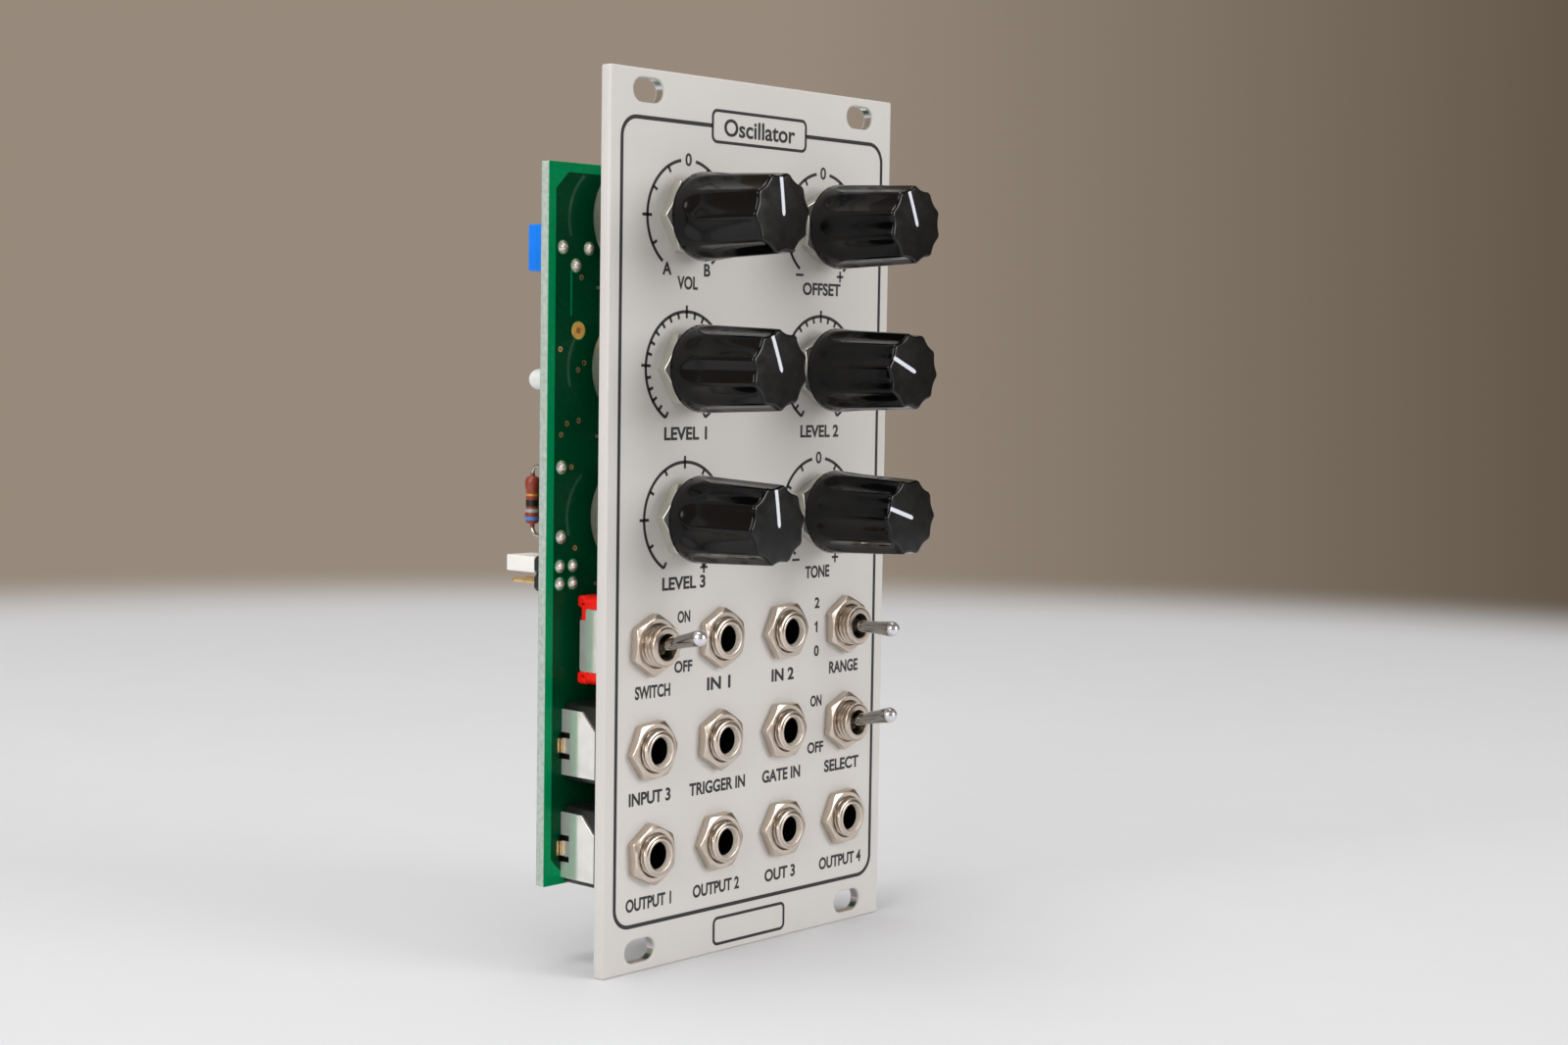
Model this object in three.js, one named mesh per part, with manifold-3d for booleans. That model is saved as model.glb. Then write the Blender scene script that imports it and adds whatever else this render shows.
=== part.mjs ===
// A 12 HP synthesiser module: a front panel with six knobs, three toggle switches and nine sockets, and
// the circuit board that their terminals hold behind it. Millimetres. X runs across the panel, +Y goes back
// from it and +Z is up. The origin lies under the middle of the whole module, on the panel's bottom edge.

import * as THREE from "three";
import { mergeVertices } from "three/addons/utils/BufferGeometryUtils.js";
import Module from "manifold-3d";

const wasm = await Module();
wasm.setup();

// Panel
const panelWidth = 60.6;
const panelHeight = 128.5;
const panelThickness = 1.8;
const slotInset = 7.5;
const slotRise = 3;
const slotLength = 6;
const slotHeight = 3.4;
const slotChamfer = 0.4;

// Layout of the controls, all of which stand a little left of the panel's middle. Six rows share out the
// height from the first dials, a drop below the top edge, to the last sockets, a rise above the bottom edge.
const controlShift = -0.2;
const dialSideInset = 15.7;
const dialDrop = 20.3;
const fieldSideInset = 9.225;
const socketRise = 16.9;
const dialRowShares = [0, 0.23658, 0.47316];
const fieldRowShares = [0.66922, 0.83461, 1];

// Circuit board
const boardSideInset = 0.9;
const boardTopMargin = 7.65;
const boardFootMargin = 5.75;
const boardThickness = 1.6;
const tailLength = 0.7;
const pinClearance = 0.3;

// Clearances that every control shares
const holeClearance = 0.15;
const threadClearance = 0.15;
const runningClearance = 0.3;
const overrun = 1;
const weldDistance = 0.0001;

// Potentiometers
const potRowGap = 4.8;
const potCanEdge = 0.7;
const potRearGap = 2;
const potBushDiameter = 7;
const potBushProud = 0.6;
const potNeckDiameter = 5.6;
const potNeckInset = 3;
const potWaferWidth = 13;
const potWaferThickness = 1.2;
const potWaferReach = 2.6;
const potWaferSetback = 1.4;
const potPinPitch = 5;
const potPinWidth = 1;
const potPinThickness = 0.5;
const potPinInset = 0.9;
const potNutFlats = 10;
const potNutThickness = 1.8;

// Knobs and the flatted shafts that carry them
const shaftDiameter = 6;
const shaftFlatDepth = 1.4;
const shaftReach = 11.4;
const knobNutGap = 1.1;
const knobHeight = 15.7;
const knobBaseDiameter = 12.7;
const knobTopDiameter = 11.4;
const knobCapDiameter = 10.6;
const knobBaseChamfer = 0.3;
const knobShoulder = 0.45;
const knobRecessDiameter = 8.6;
const knobRecessDepth = 1.6;
const fluteCount = 10;
const fluteDepth = 0.7;
const fluteEnd = 3.4;
const fluteRunOut = 1.6;
const knobFluteShares = [0, 0.85, 1, 1, 0, 0, 0, 0];

// Sockets
const socketDepth = 11.4;
const socketWidth = 9.5;
const socketHeight = 11.3;
const socketLift = 0.25;
const socketRearGap = 0.4;
const socketBushDiameter = 6;
const socketBushProud = 1;
const socketBushLip = 0.55;
const socketBore = 3.6;
const socketBoreDepth = 9.6;
const socketMouth = 4.2;
const socketNutFlats = 8;
const socketNutThickness = 1.5;
const sidePlateThickness = 0.3;
const sidePlateHeight = 10.9;
const sidePlateDepth = 7;
const sidePlateCorner = 2.2;
const sidePlateNotchDepth = 0.5;
const sidePlateNotchHeight = 1.3;
const sidePlateTongue = 2;
const socketPinThickness = 0.4;
const socketPinWidth = 1.4;
const sleevePinDrop = 3.4;

// Toggle switches
const toggleCaseWidth = 6.8;
const toggleRowGap = 2.2;
const toggleRearGap = 1.4;
const toggleFrameThickness = 0.5;
const toggleFrameMargin = 0.15;
const toggleStrapHeight = 7.8;
const toggleStrapSetback = 1.6;
const toggleBushDiameter = 6;
const toggleBushProud = 2;
const toggleBushLip = 0.9;
const toggleMouth = 3.8;
const togglePinPitch = 4.7;
const togglePinWidth = 1.3;
const togglePinThickness = 0.7;
const leverPivotSetback = 2;
const leverReach = 8.3;
const leverRootDiameter = 1.9;
const leverTipDiameter = 2.4;
const leverBallDiameter = 3;
const leverThrow = 12.5;

// Parts on the back of the board. Insets run from its left edge as seen from the front, and drops and rises
// from the dial row beside each part; the small header hangs a gap below the resistor.
const trimmerInset = 5.3;
const trimmerDrop = 4.5;
const trimmerWidth = 6.8;
const trimmerHeight = 6.8;
const trimmerDepth = 4.4;
const trimmerStandoff = 0.5;
const trimmerFoot = 1;
const trimmerPinPitch = 2.54;
const trimmerPinDiameter = 0.5;
const rotorDiameter = 3.6;
const rotorThickness = 1.6;
const rotorSlotWidth = 0.7;
const rotorSlotDepth = 0.7;
const lampInset = 3.9;
const lampDrop = 1.9;
const lampDiameter = 3;
const lampLength = 4.7;
const lampStandoff = 1.3;
const lampFlange = 0.35;
const lampFlangeThickness = 1;
const lampFootWidth = 2.6;
const lampFootHeight = 3.2;
const resistorInset = 2.8;
const resistorRise = 2.05;
const resistorLength = 7.15;
const resistorDiameter = 2.25;
const resistorWaist = 0.15;
const resistorCapLength = 1.5;
const resistorLeadSpan = 10.1;
const resistorStandoff = 3.4;
const resistorLeadBend = 1.2;
const leadDiameter = 0.6;
const headerInset = 3.9;
const headerGap = 2.96;
const headerPitch = 2.54;
const headerBaseDepth = 2.5;
const headerPinSquare = 0.64;
const headerPinReach = 8.4;
const jumperLength = 6.1;
const jumperBore = 1.25;
const jumperSideTrim = 0.1;
const powerHeaderRows = 5;
const platedHoleInset = 5.9;
const platedHoleRise = 5.25;
const platedHoleDiameter = 1.3;

// How finely round forms are faceted
const canSides = 18;
const bushSides = 12;
const smallSides = 12;
const slotSegments = 5;
const leadSides = 6;
const boardHoleSides = 4;
const panelHoleSides = 8;
const knobSidesPerFlute = 3;
const leadSteps = 24;

// Rest positions: pointers and nuts in degrees clockwise as seen from the front, levers in throws upward
const pointerTurns = [[-6, -21], [-21, -67], [-7, -73]];
const potNutTurns = [[30, 0], [28, 2], [32, 1]];
const fieldRows = [
  ["toggle", "socket", "socket", "toggle"],
  ["socket", "socket", "socket", "toggle"],
  ["socket", "socket", "socket", "socket"],
];
const fieldNutTurns = [[4, 2, 26, -3], [24, 3, 33, 5], [-4, 27, 31, 25]];
const leverThrows = [[1, 0, 0, 0], [0, 0, 0, 1], [0, 0, 0, 0]];

const sheetSteel = finish("#c9c5ba", 0.38, 0.9);
const nickel = finish("#cfc4b2", 0.25, 1);
const chrome = finish("#dcdce0", 0.12, 1);
const panelFinish = finish("#cbc8c3", 0.45, 0.3);
const knobBlack = finish("#0d0d0e", 0.22, 0);
const boardGreen = finish("#0b6a3c", 0.35, 0);
const caseBlack = finish("#151514", 0.4, 0);
const caseRed = finish("#d81a12", 0.35, 0);
const trimmerBlue = finish("#1288f0", 0.35, 0);
const rotorWhite = finish("#e8e6df", 0.5, 0);
const resistorRed = finish("#7a2f1c", 0.45, 0);
const lampWhite = finish("#f1f1ec", 0.3, 0);
const headerBlack = finish("#101010", 0.5, 0);
const jumperWhite = finish("#f2f0e8", 0.45, 0);

const toRadians = Math.PI / 180;
const topRow = panelHeight - dialDrop;
const rowSpan = topRow - socketRise;
const dialRows = dialRowShares.map((share) => topRow - share * rowSpan);
const fieldRowHeights = fieldRowShares.map((share) => topRow - share * rowSpan);
const dialColumnPitch = panelWidth - 2 * dialSideInset;
const fieldColumnPitch = (panelWidth - 2 * fieldSideInset) / (fieldRows[0].length - 1);
const potCanDiameter = dialRows[0] - dialRows[1] - potRowGap;
const toggleCaseHeight = fieldRowHeights[1] - fieldRowHeights[2] - toggleRowGap;
const socketBushReach = socketNutThickness + socketBushProud;
const toggleBushReach = socketNutThickness + toggleBushProud;
const potBushReach = potNutThickness + potBushProud;
const knobLift = potNutThickness + knobNutGap;
const boardFront = panelThickness + socketDepth;
const boardBack = boardFront + boardThickness;
const boardWidth = panelWidth - 2 * boardSideInset;
const boardTop = topRow + boardTopMargin;
const boardFoot = socketRise - boardFootMargin;
const boardLeft = controlShift - boardWidth / 2;
const jumperReach = headerBaseDepth + jumperLength;
const frontReach = knobLift + knobHeight;
const backReach = boardBack + Math.max(jumperReach, headerPinReach);

function finish(color, roughness, metalness) {
  return new THREE.MeshStandardMaterial({ color, roughness, metalness, flatShading: true });
}

// A closed geometry as a solid that can be joined and cut
function solid(geometry) {
  const bare = new THREE.BufferGeometry();
  bare.setAttribute("position", geometry.getAttribute("position"));
  bare.setIndex(geometry.getIndex());
  const welded = mergeVertices(bare, weldDistance);
  const index = welded.getIndex();
  const corners = [];
  for (let i = 0; i < index.count; i += 3) {
    const triangle = [index.getX(i), index.getX(i + 1), index.getX(i + 2)];
    if (new Set(triangle).size === 3) corners.push(...triangle);
  }
  const vertProperties = new Float32Array(welded.getAttribute("position").array);
  return new wasm.Manifold(new wasm.Mesh({ numProp: 3, vertProperties, triVerts: new Uint32Array(corners) }));
}

function joined(...bodies) {
  return bodies.reduce((whole, body) => whole.add(body));
}

function cut(body, ...tools) {
  return tools.reduce((rest, tool) => rest.subtract(tool), body);
}

// A named mesh of a finished solid
function piece(name, body, material) {
  const { vertProperties, triVerts } = body.getMesh();
  const geometry = new THREE.BufferGeometry();
  geometry.setAttribute("position", new THREE.BufferAttribute(new Float32Array(vertProperties), 3));
  geometry.setIndex(new THREE.BufferAttribute(new Uint32Array(triVerts), 1));
  geometry.computeVertexNormals();
  const mesh = new THREE.Mesh(geometry, material);
  mesh.name = name;
  return mesh;
}

// A profile of [radius, distance back] pairs turned about the Y axis, from its front end to its back end
function turned(profile, sides, turn = 0) {
  const points = profile.map(([radius, back]) => new THREE.Vector2(radius, back));
  return solid(new THREE.LatheGeometry(points, sides, turn));
}

function rod(radius, front, back, sides, turn = 0) {
  return turned([[0, front], [radius, front], [radius, back], [0, back]], sides, turn);
}

function block(left, right, front, back, bottom, top) {
  const geometry = new THREE.BoxGeometry(right - left, back - front, top - bottom);
  geometry.translate((left + right) / 2, (front + back) / 2, (bottom + top) / 2);
  return solid(geometry);
}

// A bar of one cross-section along Y, centred on a point of the panel plane
function bar(x, z, width, height, front, back) {
  return block(x - width / 2, x + width / 2, front, back, z - height / 2, z + height / 2);
}

// A flat outline in X and Z, given depth along Y
function slab(outline, front, back, bevel = 0) {
  const geometry = new THREE.ExtrudeGeometry(outline, {
    depth: back - front,
    curveSegments: slotSegments,
    bevelEnabled: bevel > 0,
    bevelSize: bevel,
    bevelThickness: bevel,
    bevelSegments: 1,
  });
  geometry.rotateX(Math.PI / 2);
  geometry.translate(0, back, 0);
  return solid(geometry);
}

// A flat outline in Y and Z, given width along X
function sideSlab(outline, left, right) {
  const geometry = new THREE.ExtrudeGeometry(outline, { depth: right - left, bevelEnabled: false });
  const yAxis = new THREE.Vector3(0, 1, 0);
  const zAxis = new THREE.Vector3(0, 0, 1);
  const xAxis = new THREE.Vector3(1, 0, 0);
  geometry.applyMatrix4(new THREE.Matrix4().makeBasis(yAxis, zAxis, xAxis));
  geometry.translate(left, 0, 0);
  return solid(geometry);
}

function rectangle(left, right, bottom, top) {
  const corners = [[left, bottom], [right, bottom], [right, top], [left, top]];
  return new THREE.Shape(corners.map(([x, z]) => new THREE.Vector2(x, z)));
}

// The tool for a hole of so many sides through a plate, whose flats clear the hole's radius
function drill({ x, z, radius }, sides, front, back) {
  const corner = radius / Math.cos(Math.PI / sides);
  return rod(corner, front - overrun, back + overrun, sides).translate([x, 0, z]);
}

// The rounded outline of a rack screw slot about its own middle
function slotOutline() {
  const reach = (slotLength - slotHeight) / 2;
  const outline = new THREE.Shape();
  outline.absarc(reach, 0, slotHeight / 2, -Math.PI / 2, Math.PI / 2, false);
  outline.absarc(-reach, 0, slotHeight / 2, Math.PI / 2, (3 * Math.PI) / 2, false);
  return outline;
}

// A circle with one flat, as on the end of a potentiometer shaft; the flat faces down
function flattedOutline(radius, flatDepth) {
  const start = Math.acos((radius - flatDepth) / radius) - Math.PI / 2;
  const outline = new THREE.Shape();
  outline.absarc(0, 0, radius, start, Math.PI - start, false);
  return outline;
}

// A hexagon nut with a chamfered front face; its back face lies on the panel
function hexNut(flats, thickness, thread, turn) {
  const corner = flats / Math.sqrt(3);
  const rim = corner + overrun;
  const slope = (rim - flats / 2) * Math.tan(Math.PI / 6);
  const hexagon = rod(corner, -thickness, 0, 6, turn * toRadians);
  const dome = turned([
    [0, -thickness],
    [flats / 2, -thickness],
    [rim, slope - thickness],
    [rim, overrun],
    [0, overrun],
  ], smallSides, turn * toRadians);
  const bore = rod(thread / 2 + threadClearance, -thickness - overrun, overrun, bushSides);
  return cut(hexagon.intersect(dome), bore);
}

function dialPlaces() {
  const places = [];
  for (let row = 0; row < pointerTurns.length; row += 1) {
    for (let column = 0; column < pointerTurns[row].length; column += 1) {
      const x = controlShift + (column - 0.5) * dialColumnPitch;
      const z = dialRows[row];
      const number = places.length + 1;
      places.push({ number, x, z, pointer: pointerTurns[row][column], nutTurn: potNutTurns[row][column] });
    }
  }
  return places;
}

function fieldPlaces(kind) {
  const places = [];
  const middle = (fieldRows[0].length - 1) / 2;
  for (let row = 0; row < fieldRows.length; row += 1) {
    for (let column = 0; column < fieldRows[row].length; column += 1) {
      if (fieldRows[row][column] === kind) {
        const x = controlShift + (column - middle) * fieldColumnPitch;
        const z = fieldRowHeights[row];
        const nutTurn = fieldNutTurns[row][column];
        places.push({ number: places.length + 1, x, z, nutTurn, throws: leverThrows[row][column] });
      }
    }
  }
  return places;
}

const dials = dialPlaces();
const toggles = fieldPlaces("toggle");
const sockets = fieldPlaces("socket");

function makePanel() {
  const outline = rectangle(-panelWidth / 2, panelWidth / 2, 0, panelHeight);
  const holes = [
    ...dials.map(({ x, z }) => ({ x, z, radius: potBushDiameter / 2 })),
    ...toggles.map(({ x, z }) => ({ x, z, radius: toggleBushDiameter / 2 })),
    ...sockets.map(({ x, z }) => ({ x, z, radius: socketBushDiameter / 2 })),
  ];
  let plate = slab(outline, 0, panelThickness);
  for (const { x, z, radius } of holes) {
    plate = cut(plate, drill({ x, z, radius: radius + holeClearance }, panelHoleSides, 0, panelThickness));
  }
  for (const side of [-1, 1]) {
    for (const z of [slotRise, panelHeight - slotRise]) {
      const x = side * (panelWidth / 2 - slotInset);
      const way = slab(slotOutline(), -overrun, panelThickness + overrun);
      const chamfer = slab(slotOutline(), -overrun, 0, slotChamfer);
      plate = cut(plate, way.translate([x, 0, z]), chamfer.translate([x, 0, z]));
    }
  }
  return piece("front_panel", plate, panelFinish);
}

// Where each terminal passes through the board: its middle and its half diagonal
function pinHole(x, z, width, height) {
  return { x, z, radius: Math.hypot(width, height) / 2 + pinClearance };
}

function potPins() {
  const z = -potCanDiameter / 2 - potWaferReach + potPinInset;
  return [-1, 0, 1].map((place) => ({ x: place * potPinPitch, z }));
}

function socketPins() {
  const side = socketWidth / 2 + sidePlateThickness - socketPinThickness / 2;
  return [{ x: -side, z: 0 }, { x: side, z: 0 }, { x: 0, z: socketLift - sleevePinDrop }];
}

function togglePins() {
  return [-1, 0, 1].map((place) => ({ x: 0, z: place * togglePinPitch }));
}

function trimmerPins() {
  return [{ x: -trimmerPinPitch, z: 0 }, { x: 0, z: -trimmerPinPitch }, { x: trimmerPinPitch, z: 0 }];
}

function headerPins(rows) {
  const pins = [];
  for (let row = 0; row < rows; row += 1) {
    for (const side of [-1, 1]) {
      pins.push({ x: (side * headerPitch) / 2, z: (row - (rows - 1) / 2) * headerPitch });
    }
  }
  return pins;
}

const trimmerPlace = { x: boardLeft + trimmerInset, z: dialRows[0] - trimmerDrop };
const lampPlace = { x: boardLeft + lampInset, z: dialRows[1] - lampDrop };
const resistorPlace = { x: boardLeft + resistorInset, z: dialRows[2] + resistorRise };
const headerTop = resistorPlace.z - resistorLeadSpan / 2 - headerGap;
const headerPlace = { x: boardLeft + headerInset, z: headerTop - headerPitch };
const powerPlace = { x: controlShift, z: dialRows[1] };

function boardHoles() {
  const holes = [];
  const add = (places, pins, width, height) => {
    for (const place of places) {
      for (const pin of pins) holes.push(pinHole(place.x + pin.x, place.z + pin.z, width, height));
    }
  };
  const leadEnds = [{ x: 0, z: -resistorLeadSpan / 2 }, { x: 0, z: resistorLeadSpan / 2 }];
  add(dials, potPins(), potPinWidth, potPinThickness);
  add(sockets, socketPins(), socketPinThickness, socketPinWidth);
  add(toggles, togglePins(), togglePinThickness, togglePinWidth);
  add([trimmerPlace], trimmerPins(), trimmerPinDiameter, 0);
  add([resistorPlace], leadEnds, leadDiameter, 0);
  add([headerPlace], headerPins(2), headerPinSquare, headerPinSquare);
  add([powerPlace], headerPins(powerHeaderRows), headerPinSquare, headerPinSquare);
  return holes;
}

function makeBoard() {
  const outline = rectangle(boardLeft, boardLeft + boardWidth, boardFoot, boardTop);
  const plated = { x: boardLeft + platedHoleInset, z: dialRows[1] + platedHoleRise };
  const drills = boardHoles().map((hole) => drill(hole, boardHoleSides, boardFront, boardBack));
  drills.push(drill({ ...plated, radius: platedHoleDiameter / 2 }, smallSides, boardFront, boardBack));
  return piece("circuit_board", cut(slab(outline, boardFront, boardBack), ...drills), boardGreen);
}

// A potentiometer: threaded bush, round can and the wafer whose three pins bend back to the board
function makePotBody({ number, x, z }) {
  const bore = potNeckDiameter / 2 + runningClearance;
  const bush = potBushDiameter / 2;
  const can = potCanDiameter / 2;
  const canFront = panelThickness;
  const canBack = boardFront - potRearGap;
  const boreEnd = canFront + potNeckInset + runningClearance;
  const shell = turned([
    [0, boreEnd],
    [bore, boreEnd],
    [bore, -potBushReach],
    [bush - potBushProud / 2, -potBushReach],
    [bush, -potBushReach + potBushProud / 2],
    [bush, canFront],
    [can - potCanEdge, canFront],
    [can, canFront + potCanEdge],
    [can, canBack - potCanEdge],
    [can - potCanEdge, canBack],
    [0, canBack],
  ], canSides);
  const waferFront = canFront + potWaferSetback;
  const waferBack = waferFront + potWaferThickness;
  const waferFoot = -can - potWaferReach;
  const wafer = block(-potWaferWidth / 2, potWaferWidth / 2, waferFront, waferBack, waferFoot, -can / 2);
  const pins = potPins().map((pin) => {
    const front = (waferFront + waferBack) / 2;
    return bar(pin.x, pin.z, potPinWidth, potPinThickness, front, boardBack + tailLength);
  });
  const body = joined(shell, wafer, ...pins).translate([x, 0, z]);
  return piece(`pot_${number}`, body, sheetSteel);
}

function makePotNut({ number, x, z, nutTurn }) {
  const nut = hexNut(potNutFlats, potNutThickness, potBushDiameter, nutTurn);
  return piece(`pot_nut_${number}`, nut.translate([x, 0, z]), nickel);
}

// The shaft turns in the bush on its neck; its flatted end drives the knob
function makeShaft({ number, x, z, pointer }) {
  const neckBack = panelThickness + potNeckInset;
  const flatFront = -knobLift - shaftReach;
  const neck = rod(potNeckDiameter / 2, -knobLift - overrun, neckBack, smallSides);
  const flatted = slab(flattedOutline(shaftDiameter / 2, shaftFlatDepth), flatFront, -knobLift);
  const shaft = piece(`shaft_${number}`, joined(neck, flatted), sheetSteel);
  shaft.rotation.y = pointer * toRadians;
  shaft.position.set(x, 0, z);
  return shaft;
}

// A tapered knob with a round skirt, flutes that run out above it, and a bore with one flat
function makeKnob({ number, x, z, pointer }) {
  const cap = -knobHeight;
  const base = knobBaseDiameter / 2;
  const top = knobTopDiameter / 2;
  const edge = knobCapDiameter / 2;
  const radiusAt = (back) => top + ((base - top) * (back - cap - knobShoulder)) / (knobHeight - knobShoulder);
  const rings = [
    [0, cap],
    [edge, cap],
    [top, cap + knobShoulder],
    [radiusAt(-fluteEnd - fluteRunOut), -fluteEnd - fluteRunOut],
    [radiusAt(-fluteEnd), -fluteEnd],
    [base, -knobBaseChamfer],
    [base - knobBaseChamfer, 0],
    [0, 0],
  ];
  const points = rings.map(([radius, back]) => new THREE.Vector2(radius, back));
  const sides = fluteCount * knobSidesPerFlute;
  const geometry = new THREE.LatheGeometry(points, sides);
  const position = geometry.getAttribute("position");
  for (let i = 0; i < position.count; i += 1) {
    const side = Math.floor(i / rings.length);
    const ring = i % rings.length;
    const radius = rings[ring][0];
    if (side % knobSidesPerFlute === 0 && radius > 0) {
      const share = 1 - (fluteDepth * knobFluteShares[ring]) / radius;
      position.setX(i, position.getX(i) * share);
      position.setZ(i, position.getZ(i) * share);
    }
  }
  const body = solid(geometry);
  const boreRadius = shaftDiameter / 2 + runningClearance;
  const bore = slab(flattedOutline(boreRadius, shaftFlatDepth), -shaftReach - runningClearance, overrun);
  const recess = rod(knobRecessDiameter / 2, -knobRecessDepth, overrun, smallSides);
  const knob = piece(`knob_${number}`, cut(body, bore, recess), knobBlack);
  knob.rotation.y = pointer * toRadians;
  knob.position.set(x, -knobLift, z);
  return knob;
}

// The folded side plate of a socket, with a clipped front corner and two notches beside its tongue
function sidePlateOutline() {
  const back = boardFront;
  const front = back - sidePlateDepth;
  const top = socketLift + sidePlateHeight / 2;
  const bottom = socketLift - sidePlateHeight / 2;
  const tongue = sidePlateTongue / 2;
  const notch = tongue + sidePlateNotchHeight;
  const inner = back - sidePlateNotchDepth;
  const corners = [
    [front, bottom],
    [back, bottom],
    [back, -notch],
    [inner, -notch],
    [inner, -tongue],
    [back, -tongue],
    [back, tongue],
    [inner, tongue],
    [inner, notch],
    [back, notch],
    [back, top],
    [front + sidePlateCorner, top],
    [front, top - sidePlateCorner],
  ];
  return new THREE.Shape(corners.map(([y, z]) => new THREE.Vector2(y, z)));
}

// A 3.5 mm socket: threaded bush with a rolled mouth, moulded case, side plate and three pins
function makeSocket({ number, x, z }) {
  const bush = socketBushDiameter / 2;
  const bore = socketBore / 2;
  const mouth = socketMouth / 2;
  const boreEnd = socketBoreDepth - socketBushReach;
  const tip = -socketBushReach;
  const caseBack = boardFront - socketRearGap;
  const caseTop = socketLift + socketHeight / 2;
  const caseBottom = socketLift - socketHeight / 2;
  const sleeve = turned([
    [0, tip],
    [mouth + socketBushLip / 2, tip],
    [bush - socketBushLip / 4, tip + socketBushLip / 2],
    [bush, tip + socketBushLip],
    [bush, panelThickness + overrun],
    [0, panelThickness + overrun],
  ], bushSides);
  const way = turned([
    [0, tip - overrun],
    [mouth, tip - overrun],
    [mouth, tip],
    [bore, tip + (mouth - bore)],
    [bore, boreEnd],
    [0, boreEnd],
  ], smallSides);
  const moulding = rectangle(panelThickness, caseBack, caseBottom, caseTop);
  const box = sideSlab(moulding, -socketWidth / 2, socketWidth / 2);
  const side = -socketWidth / 2;
  const plate = sideSlab(sidePlateOutline(), side - sidePlateThickness, side + sidePlateThickness);
  const pins = socketPins().map((pin, index) => {
    const width = index === 2 ? socketPinWidth : socketPinThickness;
    const height = index === 2 ? socketPinThickness : socketPinWidth;
    return bar(pin.x, pin.z, width, height, caseBack - overrun, boardBack + tailLength);
  });
  const body = cut(joined(sleeve, box, plate, ...pins), way);
  return piece(`socket_${number}`, body.translate([x, 0, z]), caseBlack);
}

function makeSocketNut({ number, x, z, nutTurn }) {
  const nut = hexNut(socketNutFlats, socketNutThickness, socketBushDiameter, nutTurn);
  return piece(`socket_nut_${number}`, nut.translate([x, 0, z]), nickel);
}

// A toggle switch: threaded bush, steel frame folded over a moulded case, and three terminals
function makeToggle({ number, x, z }) {
  const bush = toggleBushDiameter / 2;
  const mouth = toggleMouth / 2;
  const tip = -toggleBushReach;
  const well = tip + leverPivotSetback + leverBallDiameter / 2 + runningClearance;
  const frameBack = panelThickness + toggleFrameThickness;
  const caseBack = boardFront - toggleRearGap;
  const halfWidth = toggleCaseWidth / 2;
  const halfHeight = toggleCaseHeight / 2;
  const sleeve = turned([
    [0, well],
    [mouth, well],
    [mouth, tip],
    [mouth + toggleBushLip / 3, tip],
    [bush - toggleBushLip / 4, tip + toggleBushLip / 2],
    [bush, tip + toggleBushLip],
    [bush, frameBack],
    [0, frameBack],
  ], bushSides);
  const margin = toggleFrameMargin;
  const frame = block(
    -halfWidth - margin, halfWidth + margin,
    panelThickness, frameBack,
    -halfHeight - margin, halfHeight + margin,
  );
  const strapBack = caseBack - toggleStrapSetback;
  const straps = block(
    -halfWidth - margin, halfWidth + margin,
    panelThickness, strapBack,
    -toggleStrapHeight / 2, toggleStrapHeight / 2,
  );
  const box = block(-halfWidth, halfWidth, frameBack, caseBack, -halfHeight, halfHeight);
  const pins = togglePins().map((pin) => {
    return bar(pin.x, pin.z, togglePinThickness, togglePinWidth, caseBack - overrun, boardBack + tailLength);
  });
  const body = joined(sleeve, frame, straps, box, ...pins);
  return piece(`toggle_${number}`, body.translate([x, 0, z]), caseRed);
}

function makeToggleNut({ number, x, z, nutTurn }) {
  const nut = hexNut(socketNutFlats, socketNutThickness, toggleBushDiameter, nutTurn);
  return piece(`toggle_nut_${number}`, nut.translate([x, 0, z]), nickel);
}

// The lever rocks on a ball inside the bush and swells towards its round tip
function makeLever({ number, x, z, throws }) {
  const tip = leverTipDiameter / 2;
  const ball = leverBallDiameter / 2;
  const root = leverRootDiameter / 2;
  const neck = Math.sqrt(ball * ball - root * root);
  const lever = turned([
    [0, -leverReach - tip],
    [tip * Math.sin(Math.PI / 6), -leverReach - tip * Math.cos(Math.PI / 6)],
    [tip * Math.sin(Math.PI / 3), -leverReach - tip * Math.cos(Math.PI / 3)],
    [tip, -leverReach],
    [root, -neck],
    [ball, 0],
    [root, neck],
    [0, ball],
  ], smallSides);
  const mesh = piece(`lever_${number}`, lever, chrome);
  mesh.rotation.x = -throws * leverThrow * toRadians;
  mesh.position.set(x, leverPivotSetback - toggleBushReach, z);
  return mesh;
}

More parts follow.
